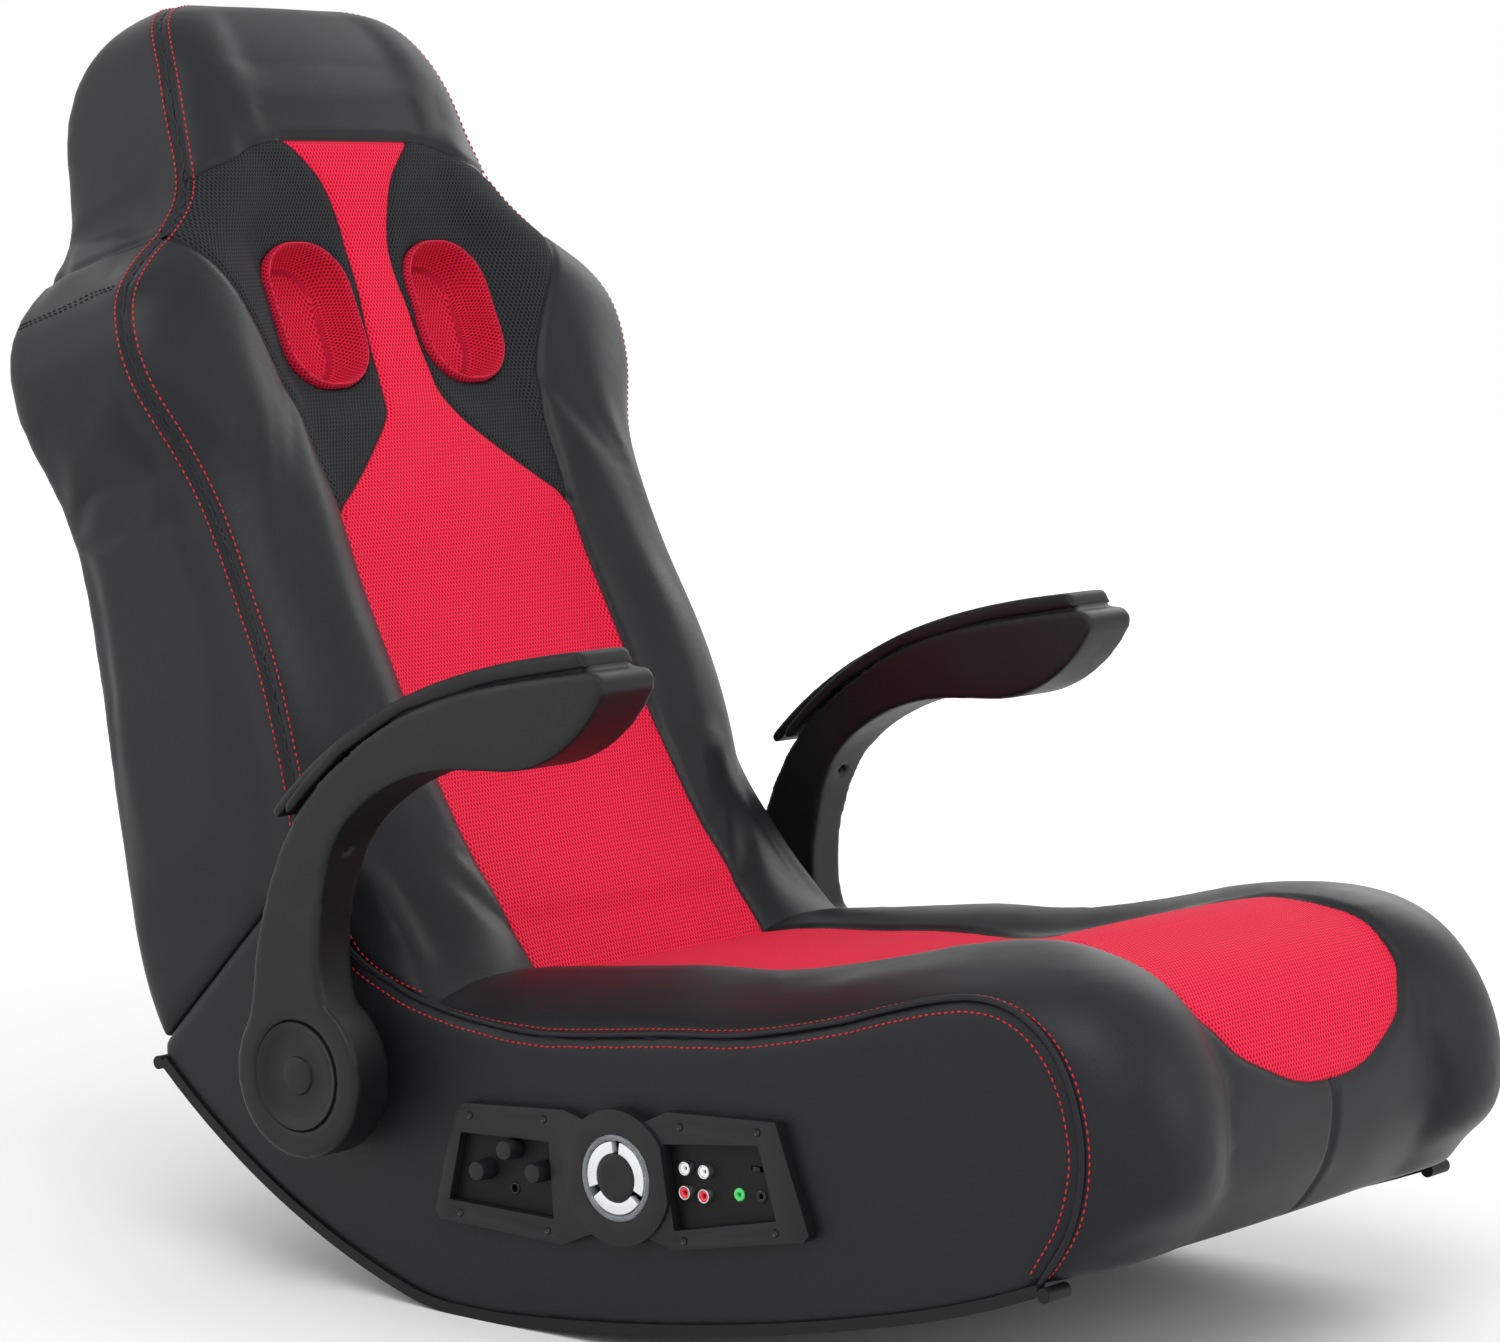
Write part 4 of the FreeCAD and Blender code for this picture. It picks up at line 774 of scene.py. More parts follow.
def join_block(bm, rows, depth):
    """Add a closed block under a crowned surface, to close the gap in the foam at the fold."""
    across = np.linspace(-BLOCK_HALF, BLOCK_HALF, 61)
    block = bmesh.new()
    rings = []
    for y, z, lean, bolster, middle in curve_through(rows, 26):
        rise = crown(across, bolster / 1000, middle / 1000)
        way = np.array([math.cos(math.radians(lean)), math.sin(math.radians(lean))])
        foot = np.array(in_side_view(y, z))
        top = [(x, *(foot + way * r)) for x, r in zip(across, rise)]
        base = [(x, *(foot - way * depth)) for x in across[::-1]]
        rings.append([block.verts.new(p) for p in top + base])
    count = len(rings[0])
    for first, second in zip(rings[:-1], rings[1:]):
        for i in range(count):
            j = (i + 1) % count
            block.faces.new((first[i], first[j], second[j], second[i]))
    block.faces.new(rings[0][::-1])
    block.faces.new(rings[-1])
    bmesh.ops.recalc_face_normals(block, faces=block.faces)
    pour(bm, block)


def rounded_gap(x, y, grow=0.0):
    """Signed distance from the pocket's rounded outline, grown by a margin; negative inside."""
    half_w, half_h = POCKET_HALF_W + grow, POCKET_HALF_H + grow
    corner = min(POCKET_CORNER + min(grow, 0), half_w - 0.0005)
    qx = np.abs(x) - (half_w - corner)
    qy = np.abs(y) - (half_h - corner)
    return np.hypot(np.maximum(qx, 0), np.maximum(qy, 0)) + np.minimum(np.maximum(qx, qy), 0) - corner


def pocket_outline(grow, steps):
    """Points of the pocket's rounded outline, found by halving along rays from its middle."""
    angles = math.tau * np.arange(steps) / steps
    ways = np.stack([np.cos(angles), np.sin(angles)], 1)
    low = np.zeros(steps)
    high = np.full(steps, 0.2)
    for _ in range(40):
        middle = (low + high) / 2
        inside = rounded_gap(*(ways.T * middle), grow) < 0
        low = np.where(inside, middle, low)
        high = np.where(inside, high, middle)
    return ways * low[:, None]


def blend_at_crease(obj):
    """Bake the object's placement into its mesh."""
    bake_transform(obj)


class RockerFinish(bpy.types.PropertyGroup):
    """Colours and finishes of the covers and mouldings"""
    leather_colour: FloatVectorProperty(name="Leather colour", description="Colour of the coated cover",
                                        subtype="COLOR", size=3, default=(0.0062, 0.0066, 0.0080))
    red_colour: FloatVectorProperty(name="Red mesh colour", description="Yarn colour of the red spacer mesh",
                                    subtype="COLOR", size=3, default=(0.88, 0.011, 0.058))
    black_mesh_colour: FloatVectorProperty(name="Black mesh colour",
                                           description="Yarn colour of the black mesh", subtype="COLOR",
                                           size=3, default=(0.020, 0.022, 0.026))
    thread_colour: FloatVectorProperty(name="Thread colour", description="Colour of the double topstitching",
                                       subtype="COLOR", size=3, default=(0.42, 0.010, 0.022))
    plastic_colour: FloatVectorProperty(name="Arm colour", description="Colour of the moulded arms",
                                        subtype="COLOR", size=3, default=(0.0052, 0.0054, 0.0062))
    leather_rough: FloatProperty(name="Leather roughness", description="How matt the cover is", default=0.40,
                                 min=0.1, max=1.0, subtype="FACTOR")
    leather_specular: FloatProperty(name="Leather gloss level", description="Strength of the cover's gloss",
                                    default=0.22, min=0.0, max=1.0, subtype="FACTOR")
    grain_scale: FloatProperty(name="Grain scale", description="Leather pebbles per metre", default=620.0,
                               min=50.0)
    mesh_pitch: FloatProperty(name="Mesh pitch", description="Distance between the holes of the spacer mesh",
                              default=0.0031, min=0.001, unit="LENGTH")


class RockerSizes(bpy.types.PropertyGroup):
    """Sizes of the padding and the sewing"""
    voxel: FloatProperty(name="Cover mesh size", description="Edge length of the remeshed covers",
                         default=0.006, min=0.003, unit="LENGTH")
    puff: FloatProperty(name="Padding swell", description="How far the covers may swell over the padding",
                        default=0.004, min=0.0, unit="LENGTH")
    stitch_pitch: FloatProperty(name="Stitch pitch", description="Distance between two stitches",
                                default=0.0052, min=0.002, unit="LENGTH")
    stitch_length: FloatProperty(name="Stitch length", description="Length of thread that shows",
                                 default=0.0038, min=0.001, unit="LENGTH")
    stitch_gap: FloatProperty(name="Stitch line distance",
                              description="Distance of each stitch line from the seam", default=0.0062,
                              min=0.002, unit="LENGTH")
    piping: FloatProperty(name="Piping radius", description="Radius of the cord sewn into the seam",
                          default=0.0022, min=0.0005, unit="LENGTH")
    cloth_frames: IntProperty(name="Cloth steps", description="Frames of the cover simulation", default=10,
                              min=5)


class ROCKER_OT_seat_cover(bpy.types.Operator):
    """Padded seat with its red tongue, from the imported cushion"""
    bl_idname = "rocker.seat_cover"
    bl_label = "Seat Cover"

    def execute(self, context):
        size = sizes()
        bm = node_copy("seat_cushion")
        join_block(bm, SEAT_BLOCK, 0.035)
        obj = add_object("seat_cover", bm)
        remesh(obj, quick_or(size.voxel))
        smooth(obj, 4)
        co = coordinates(obj)
        from_edge = SEAT_HALF - 0.004 - np.abs(co[:, 0])
        from_top, _ = nearest_on_line(co[:, 1:], side(SEAT_MIDDLE))
        free = ramp(from_edge, 0, 0.03) * ramp(0.035 - from_top, 0, 0.015)
        cloth_puff(obj, free, size.puff, size.cloth_frames)
        subdivide(obj)
        self.mark(obj)
        dress(obj, "Cover Upholstery")
        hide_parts("seat_cushion")
        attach(obj, "base")
        surfaces["seat"] = surface_of(obj)
        return {"FINISHED"}

    def mark(self, obj):
        """Sew the tongue's edge and the front seam, and store what the finish reads."""
        co = coordinates(obj)
        line = side(SEAT_MIDDLE)
        gap, along = nearest_on_line(co[:, 1:], line)
        under = gap > 0.045
        edge = np.array(SEAT_RED, float) / 1000
        _, edge_along = nearest_on_line(edge[:, 1:] + (LOW_Y, 0), line)
        half = curve_through(np.stack([edge[:, 0], edge_along], 1), 160)
        outline = np.vstack([half, half[::-1][:-1] * (-1, 1)])
        red = distance_inside(np.stack([co[:, 0], along], 1), outline)
        red = np.where(under, OUTSIDE, red)
        tip = float(edge_along[0])
        front = np.where(along < tip, np.abs(co[:, 0]), np.hypot(co[:, 0], along - tip))
        front = np.where(under, 1.0, front)
        push = groove(red, 0.0026, 0.0035) + groove(front, 0.0030, 0.0030)
        push += ramp(red, 0, 0.004) * 0.0008
        set_coordinates(obj, co - normals(obj) * push[:, None])
        store(obj, "red_edge", red)
        store(obj, "mesh_edge", np.full(len(co), OUTSIDE))
        store_uv(obj, co[:, 0], along)


class ROCKER_OT_back_cover(bpy.types.Operator):
    """Padded back, head and side gussets as one sewn cover"""
    bl_idname = "rocker.back_cover"
    bl_label = "Back Cover"

    def execute(self, context):
        size = sizes()
        obj = add_object("back_upholstery", self.joined())
        remesh(obj, quick_or(size.voxel))
        keep_largest(obj)
        self.cover_straps(obj)
        smooth(obj, 4)
        self.ease_pockets(obj)
        self.smooth_rear(obj)
        co = coordinates(obj)
        free = ramp(self.seam_distance(co), 0.006, 0.03) * ramp(self.pocket_gap(co), 0.004, 0.02)
        free *= ramp(co[:, 2], 0.235, 0.03)
        cloth_puff(obj, free, size.puff, size.cloth_frames)
        subdivide(obj)
        self.mark(obj)
        dress(obj, "Cover Upholstery")
        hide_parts("back_cushion", "head_cushion", "back_cover")
        blend_at_crease(obj)
        surfaces["back"] = surface_of(obj)
        return {"FINISHED"}

    def joined(self):
        """Foam, head and the outer skin of the rear cover in one mesh."""
        whole = bmesh.new()
        for name in ("back_cushion", "head_cushion"):
            whole.from_mesh(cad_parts[name].data)
        join_block(whole, BACK_BLOCK, 0.05)
        blockers = bmesh.new()
        for name in ("back_cushion", "head_cushion", "back_cover"):
            blockers.from_mesh(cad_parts[name].data)
        tree = BVHTree.FromBMesh(blockers)
        blockers.free()
        skin = node_copy("back_cover")
        inner = []
        for face in skin.faces:
            start = face.calc_center_median() + face.normal * 0.0004
            if tree.ray_cast(start, face.normal)[0] is not None:
                inner.append(face)
        bmesh.ops.delete(skin, geom=inner, context="FACES")
        skin.normal_update()
        thicken(skin, lambda vert: vert.normal * -0.016)
        pour(whole, skin)
        return whole

    def cover_straps(self, obj):
        """Ease the bolsters forward where the hinge straps run close under them."""
        co = coordinates(obj)
        run = np.subtract(STRAP_TOP, STRAP_FOOT)
        strap_front = STRAP_FOOT[0] + LOW_Y + (co[:, 2] - STRAP_FOOT[1]) * run[0] / run[1]
        strap_front -= STRAP_HALF * math.hypot(*run) / run[1]
        too_deep = co[:, 1] - strap_front + 0.006
        fade = np.exp(-((np.abs(co[:, 0]) - STRAP_X) / 0.022) ** 2)
        fade *= ramp(co[:, 2], 0.215, 0.03) * ramp(0.43 - co[:, 2], 0, 0.05)
        near = (normals(obj)[:, 1] < 0.1) & (too_deep < 0.035)
        co[:, 1] -= np.where(near, np.clip(too_deep, 0, 0.03) * fade, 0)
        set_coordinates(obj, co)

    def seam_distance(self, co):
        """Distance from the front seam, closed over the top of the head."""
        line = seam_path_back(1)
        line = np.vstack([line, [[0.0, line[-1, 1] + 0.004, line[-1, 2] + 0.001]]])
        one_side = co.copy()
        one_side[:, 0] = np.abs(co[:, 0])
        return nearest_on_line(one_side, curve_through(line, 160))[0]

    def pocket_frame(self, co):
        """Place relative to the nearer pocket: sideways, up the front, depth, distance from its outline."""
        y = co[:, 1] - POCKET_Y
        z = co[:, 2] - POCKET_Z
        up = z * math.cos(POCKET_LEAN) + y * math.sin(POCKET_LEAN)
        across = np.abs(co[:, 0]) - POCKET_X
        depth = y * math.cos(POCKET_LEAN) - z * math.sin(POCKET_LEAN)
        return across, up, depth, rounded_gap(across, up)

    def pocket_gap(self, co):
        _, _, depth, outside = self.pocket_frame(co)
        return np.where(depth < 0.045, np.abs(outside), 1.0)

    def ease_pockets(self, obj):
        """Hold the foam back from the linings of the speaker pockets."""
        co = coordinates(obj)
        across, up, depth, outside = self.pocket_frame(co)
        size = np.maximum(np.hypot(across, up), 1e-6)
        zone = (outside < 0.006) & (depth > 0.003) & (depth < 0.055)
        apart = 0.004 * ramp(depth, 0, 0.01) * ramp(outside, -0.016, 0.008) * zone
        deeper = 0.009 * ramp(depth, 0.020, 0.010) * zone
        co[:, 0] += np.sign(co[:, 0]) * apart * across / size
        co[:, 1] += apart * up / size * math.sin(POCKET_LEAN) + deeper * math.cos(POCKET_LEAN)
        co[:, 2] += apart * up / size * math.cos(POCKET_LEAN) - deeper * math.sin(POCKET_LEAN)
        set_coordinates(obj, co)

    def smooth_rear(self, obj):
        """Draw the rear cover taut."""
        with mesh_edit(obj) as bm:
            bm.normal_update()
            relax(bm, [v for v in bm.verts if v.normal.y > 0.5 and v.co.z > 0.35], 24, "y")

    def field_distance(self, co, edge):
        """Distance inside a field that is given by half widths and heights."""
        half = curve_through(np.array(edge) / 1000, 220)
        return distance_inside(co[:, [0, 2]], np.vstack([half, half[::-1] * (-1, 1)]))

    def mark(self, obj):
        """Press in the seams and the edges of the mesh, and store what the finish reads."""
        co = coordinates(obj)
        nm = normals(obj)
        seam = seam_path_back(1)
        front = np.interp(co[:, 2], seam[:, 2], seam[:, 1]) - co[:, 1]
        red, mesh = (np.where(front < -0.002, OUTSIDE, self.field_distance(co, edge))
                     for edge in (BACK_RED, BACK_MESH))
        sewn = (front > -0.006) & (nm[:, 1] < 0.3)
        push = np.where(sewn, groove(red, 0.0022, 0.0032), 0)
        push += np.where(sewn & (red < 0.004), groove(mesh, 0.0024, 0.0032), 0)
        push += groove(self.seam_distance(co), 0.0028, 0.0036)
        shoulder_tilt = 0.331
        cross = (co[:, 2] - 0.760) * math.cos(shoulder_tilt)
        cross += (co[:, 1] - 0.332 - LOW_Y) * math.sin(shoulder_tilt)
        push += np.where(front < 0.0, groove(cross, 0.0028, 0.0034), 0)
        push -= np.where(front > -0.02, groove(self.pocket_gap(co), 0.0016, 0.004), 0)
        set_coordinates(obj, co - nm * push[:, None])
        store(obj, "red_edge", red)
        store(obj, "mesh_edge", np.where(red > 0, red, mesh))
        store_uv(obj, co[:, 0], co[:, 2] / math.cos(math.radians(20)))


class ROCKER_OT_side_panels(bpy.types.Operator):
    """Padded side panels of the base, sewn to the seat"""
    bl_idname = "rocker.side_panels"
    bl_label = "Side Panels"

    def execute(self, context):
        for name, sign in SIDES:
            node = "side_cover_" + name
            bm = node_copy(node)
            drop = [f for f in bm.faces
                    if f.normal.x * sign < 0.9 or f.calc_center_median().x * sign < 0.2444]
            bmesh.ops.delete(bm, geom=drop, context="FACES")
            thicken(bm, lambda vert: Vector((-sign * 0.011, 0, 0)))
            obj = add_object("side_panel_" + name, bm)
            remesh(obj, PANEL_VOXEL)
            smooth(obj, 3)
            set_coordinates(obj, coordinates(obj) + normals(obj) * 0.0009)
            self.swell(obj, sign)
            dress(obj, "Cover Leather")
            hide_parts(node)
            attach(obj, "base")
            surfaces["panel_" + name] = surface_of(obj)
        return {"FINISHED"}

    def swell(self, obj, sign):
        """Round the panel over to its seam and lay soft, shallow waves in it."""
        co = coordinates(obj)
        gap, along = nearest_on_line(co[:, 1:], side(SEAT_SEAM))
        wave = np.sin(along * 41.0) * np.sin(gap * 60.0 + along * 13.0) * 0.0005 * ramp(gap, 0, 0.05)
        outer = co[:, 0] * sign > 0.242
        co[outer, 0] += sign * (wave[outer] - groove(gap[outer], 0.0022, 0.008))
        set_coordinates(obj, co)


class ROCKER_OT_seams(bpy.types.Operator):
    """Piping and double red topstitching along the side seams"""
    bl_idname = "rocker.seams"
    bl_label = "Seams"

    def execute(self, context):
        for name, sign in SIDES:
            self.seat_seam(name, sign)
            self.back_seam(name, sign)
        self.head_seam()
        return {"FINISHED"}

    def offset(self, path, distance, x):
        """A side-view path moved square to itself, out of the base where positive, and set at x."""
        run = np.gradient(path[:, 1:], axis=0)
        run /= np.linalg.norm(run, axis=1)[:, None]
        out = path.copy()
        out[:, 0] = x
        out[:, 1] -= run[:, 1] * distance
        out[:, 2] += run[:, 0] * distance
        return out

    def seat_seam(self, name, sign):
        size = sizes()
        path = curve_through([(0, *in_side_view(y, z)) for y, z in SEAT_SEAM], 260)
        bm = bmesh.new()
        lower = self.offset(path, -size.stitch_gap, sign * 0.252)
        upper = self.offset(path, size.stitch_gap, sign * 0.2445)
        crease = int(np.argmin(np.abs(path[:, 1] - (0.028 + LOW_Y))))
        stitch_row(bm, surfaces["panel_" + name], lower)
        stitch_row(bm, surfaces["seat"], upper[:crease])
        obj = add_object("seat_stitches_" + name, bm)
        dress(obj, "Thread Red")
        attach(obj, "base")
        cord = tube("seat_piping_" + name, self.offset(path, 0.0006, sign * 0.2428), size.piping)
        dress(cord, "Cover Leather")
        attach(cord, "base")

    def back_seam(self, name, sign):
        size = sizes()
        arch = [(sign * x, y + LOW_Y, z) for x, y, z in ((0.060, 0.441, 0.9315), (0.030, 0.443, 0.932),
                                                        (0, 0.444, 0.932))]
        path = curve_through(np.vstack([seam_path_back(sign), arch]), 320)
        run = np.gradient(path, axis=0)
        run /= np.linalg.norm(run, axis=1)[:, None]
        tilt = math.radians(16)
        rear = np.tile([0.0, math.cos(tilt), -math.sin(tilt)], (len(path), 1))
        outward = np.cross(run, rear)
        outward *= np.sign(outward[:, :1] * sign + 1e-9)
        outward /= np.linalg.norm(outward, axis=1)[:, None]
        behind = path + rear * size.stitch_gap + outward * 0.003
        inner = path - outward * size.stitch_gap - rear * 0.006
        bm = bmesh.new()
        for row in (behind, inner):
            stitch_row(bm, surfaces["back"], row[6:])
        obj = add_object("back_stitches_" + name, bm)
        dress(obj, "Thread Red")
        blend_at_crease(obj)
        places, ways = snapped(surfaces["back"], path)
        cord = tube("back_piping_" + name, places - ways * size.piping * 0.35, size.piping * 0.8)
        dress(cord, "Cover Leather")
        blend_at_crease(cord)

    def head_seam(self):
        """Black stitches either side of the seam that joins shoulders and head."""
        bm = bmesh.new()
        for _, sign in SIDES:
            for shift in (-0.0045, 0.0045):
                row = [(sign * 0.30, 0.332 + 0.125 * share + LOW_Y, 0.760 - 0.043 * share + shift)
                       for share in np.linspace(0.06, 1.0, 24)]
                stitch_row(bm, surfaces["back"], np.array(row), 0.0012, 0.0002)
        obj = add_object("head_stitches", bm)
        dress(obj, "Thread Black")
        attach(obj, "backrest")


class ROCKER_OT_pockets(bpy.types.Operator):
    """Mesh-lined speaker pockets with a soft rolled rim"""
    bl_idname = "rocker.pockets"
    bl_label = "Speaker Pockets"

    def execute(self, context):
        into = Vector((0, math.cos(POCKET_LEAN), -math.sin(POCKET_LEAN)))
        up = Vector((0, math.sin(POCKET_LEAN), math.cos(POCKET_LEAN)))
        steps = 72
        for name, sign in SIDES:
            bm = bmesh.new()
            centre = Vector((sign * POCKET_X, POCKET_Y, POCKET_Z))
            rings = []
            for grow, depth in POCKET_LINING:
                ring = [bm.verts.new(centre + Vector((sign * u, 0, 0)) + up * v + into * depth)
                        for u, v in pocket_outline(grow, steps)]
                rings.append([bm.edges.new((ring[i], ring[(i + 1) % steps])) for i in range(steps)])
            for first, second in zip(rings[:-1], rings[1:]):
                bmesh.ops.bridge_loops(bm, edges=first + second)
            bmesh.ops.contextual_create(bm, geom=rings[-1])
            bmesh.ops.recalc_face_normals(bm, faces=bm.faces)
            if sum((f.normal.dot(into) for f in bm.faces if len(f.verts) > 4), 0.0) > 0:
                bmesh.ops.reverse_faces(bm, faces=bm.faces)
            obj = add_object("speaker_pocket_lining_" + name, bm)
            modify(obj, "SOLIDIFY", thickness=0.0015, offset=-1)
            subdivide(obj)
            axes = np.array([(1, 0, 0), tuple(up), tuple(into)])
            across, along, depth = axes @ (coordinates(obj) - np.array(centre)).T
            wall = np.abs(normals(obj) @ np.array(into)) < 0.6
            mean_radius = 0.049
            store_uv(obj, np.where(wall, np.arctan2(along, across) * mean_radius, across),
                     np.where(wall, depth, along))
            fit(obj, "Pocket Mesh", "red_mesh", "backrest", "speaker_pocket_" + name)
        return {"FINISHED"}


class ROCKER_OT_arms(bpy.types.Operator):
    """Moulded arms with rounded edges, hub dials and screws"""
    bl_idname = "rocker.arms"
    bl_label = "Arms"

    def execute(self, context):
        for name, sign in SIDES:
            bm = node_copy("arm_shell_" + name)
            self.fill_trough(bm, name)
            obj = add_object("arm_moulding_" + name, bm)
            remesh(obj, quick_or(ARM_VOXEL))
            keep_largest(obj)
            smooth(obj, 4)
            set_coordinates(obj, coordinates(obj) + normals(obj) * 0.0002)
            fit(obj, "Arm Moulding", "black_shell", "arm_" + name, "arm_shell_" + name)
            self.hub(name, sign)
            dress_node("arm_screw_" + name, "Screw Head")
        return {"FINISHED"}

    def fill_trough(self, bm, name):
        """Close the trough under the pad with a narrower, lowered copy of it."""
        pad = node_copy("arm_pad_" + name)
        middle = sum((v.co.x for v in pad.verts), 0.0) / len(pad.verts)
        for vert in pad.verts:
            vert.co.x = middle + (vert.co.x - middle) * 0.86
            vert.co.y += 0.003 + (vert.co.y + 0.05) * 0.06
            vert.co.z -= 0.0045
        pour(bm, pad)

    def hub(self, name, sign):
        """Turned cover in the hub: lip, sloping wall, flat floor and centre button."""
        face = 0.299
        y, z = in_side_view(113, 165.5)
        profile = ((-0.0015, 0.0392), (0.0002, 0.0385), (-0.0002, 0.0365), (-0.0030, 0.0315),
                   (-0.0036, 0.0305), (-0.0036, 0.0150), (-0.0034, 0.0140), (-0.0018, 0.0132),
                   (-0.0014, 0.0122), (-0.0012, 0.0060), (-0.0012, POINT))
        obj = spun("hub_dial_" + name, [(sign * (face + x), r) for x, r in profile], y, z, 96)
        with mesh_edit(obj) as bm:
            middle = Vector((0, y, z))
            rim = [e for e in bm.edges if e.is_boundary and (e.verts[0].co - middle).yz.length > 0.03]
            grown = bmesh.ops.extrude_edge_only(bm, edges=rim)
            moved = [v for v in grown["geom"] if isinstance(v, bmesh.types.BMVert)]
            bmesh.ops.translate(bm, verts=moved, vec=(-sign * 0.005, 0, 0))
            fill_holes(bm)
        sharp_edges(obj, 40)
        fit(obj, "Arm Moulding", "black_shell", "arm_" + name, "hub_cap_" + name)


class ROCKER_OT_arm_pads(bpy.types.Operator):
    """Soft pads on the arms, swollen over their foam"""
    bl_idname = "rocker.arm_pads"
    bl_label = "Arm Pads"

    def execute(self, context):
        for name, _ in SIDES:
            obj = add_object("arm_cushion_" + name, node_copy("arm_pad_" + name))
            remesh(obj, quick_or(ARM_VOXEL))
            smooth(obj, 6)
            nm = normals(obj)
            free = np.clip(nm[:, 2] * 0.8 + 0.4 * np.abs(nm[:, 0]) - 0.05, 0, 1)
            cloth_puff(obj, free, 0.002, 8)
            smooth(obj, 2)
            dress(obj, "Pad Skin")
            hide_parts("arm_pad_" + name)
            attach(obj, "arm_" + name)
        return {"FINISHED"}


class ROCKER_OT_control_panel(bpy.types.Operator):
    """Bezel, plates and screws of the side panel"""
    bl_idname = "rocker.control_panel"
    bl_label = "Control Panel"

    def execute(self, context):
        bezel = bevelled("panel_frame", "control_bezel", 0.0022, 3)
        fit(bezel, "Panel Moulding", "panel_black", "base", "control_bezel")
        for node in ("rear_plate", "front_plate", "amplifier"):
            dress_node(node, "Plate Moulding")
        self.screws()
        return {"FINISHED"}

    def screws(self):
        """Round heads with a sunk middle, in the frame."""
        bm = bmesh.new()
        turn = Matrix.Rotation(-math.pi / 2, 4, "Y")
        for y, z in SCREWS:
            spot = Matrix.Translation((-0.25350, *in_side_view(y, z))) @ turn
            made = bmesh.ops.create_cone(bm, cap_ends=True, segments=24, radius1=0.0026, radius2=0.0026,
                                         depth=0.0030, matrix=spot)
            cap = [f for f in {f for v in made["verts"] for f in v.link_faces} if f.normal.x < -0.9]
            bmesh.ops.inset_region(bm, faces=cap, thickness=0.0011, depth=0.0)
            bmesh.ops.translate(bm, verts=list({v for f in cap for v in f.verts}), vec=(0.0011, 0, 0))
            bmesh.ops.inset_region(bm, faces=cap, thickness=0.0003, depth=0.0)
        bmesh.ops.recalc_face_normals(bm, faces=bm.faces)
        obj = add_object("panel_screw_heads", bm)
        sharp_edges(obj, 35)
        fit(obj, "Screw Head", "screw", "base", "panel_screws")


class ROCKER_OT_knobs(bpy.types.Operator):
    """Three turned knobs with grip ribs"""
    bl_idname = "rocker.knobs"
    bl_label = "Knobs"

    def execute(self, context):
        face = -0.2474
        profile = ((-0.0140, POINT), (-0.0140, 0.0056), (-0.0138, 0.0064), (-0.0130, 0.0070),
                   (-0.0040, 0.0073), (-0.0030, 0.0075), (-0.0002, 0.0075), (0, 0.0073), (0, 0.0031))
        knobs = (("volume_knob", -50.5, 128.0), ("bass_knob", -25.0, 110.0), ("vibration_knob", -77.0, 115.5))
        for body, *place in knobs:
            y, z = in_side_view(*place)
            obj = spun(body + "_cap", [(face + x, r) for x, r in profile], y, z, 72)
            co = coordinates(obj)
            around = np.arctan2(co[:, 2] - z, co[:, 1] - y)
            reach = np.hypot(co[:, 1] - y, co[:, 2] - z)
            grip = (np.abs(reach - 0.0071) < 0.00035) & (co[:, 0] < face - 0.0035)
            scale = 1 - np.where(grip, 0.035 * (np.cos(around * 36) > 0), 0)
            co[:, 1] = y + (co[:, 1] - y) * scale
            co[:, 2] = z + (co[:, 2] - z) * scale
            set_coordinates(obj, co)
            with mesh_edit(obj) as bm:
                fill_holes(bm)
            sharp_edges(obj, 40)
            fit(obj, "Panel Moulding", "gloss_black", body, body)
        return {"FINISHED"}


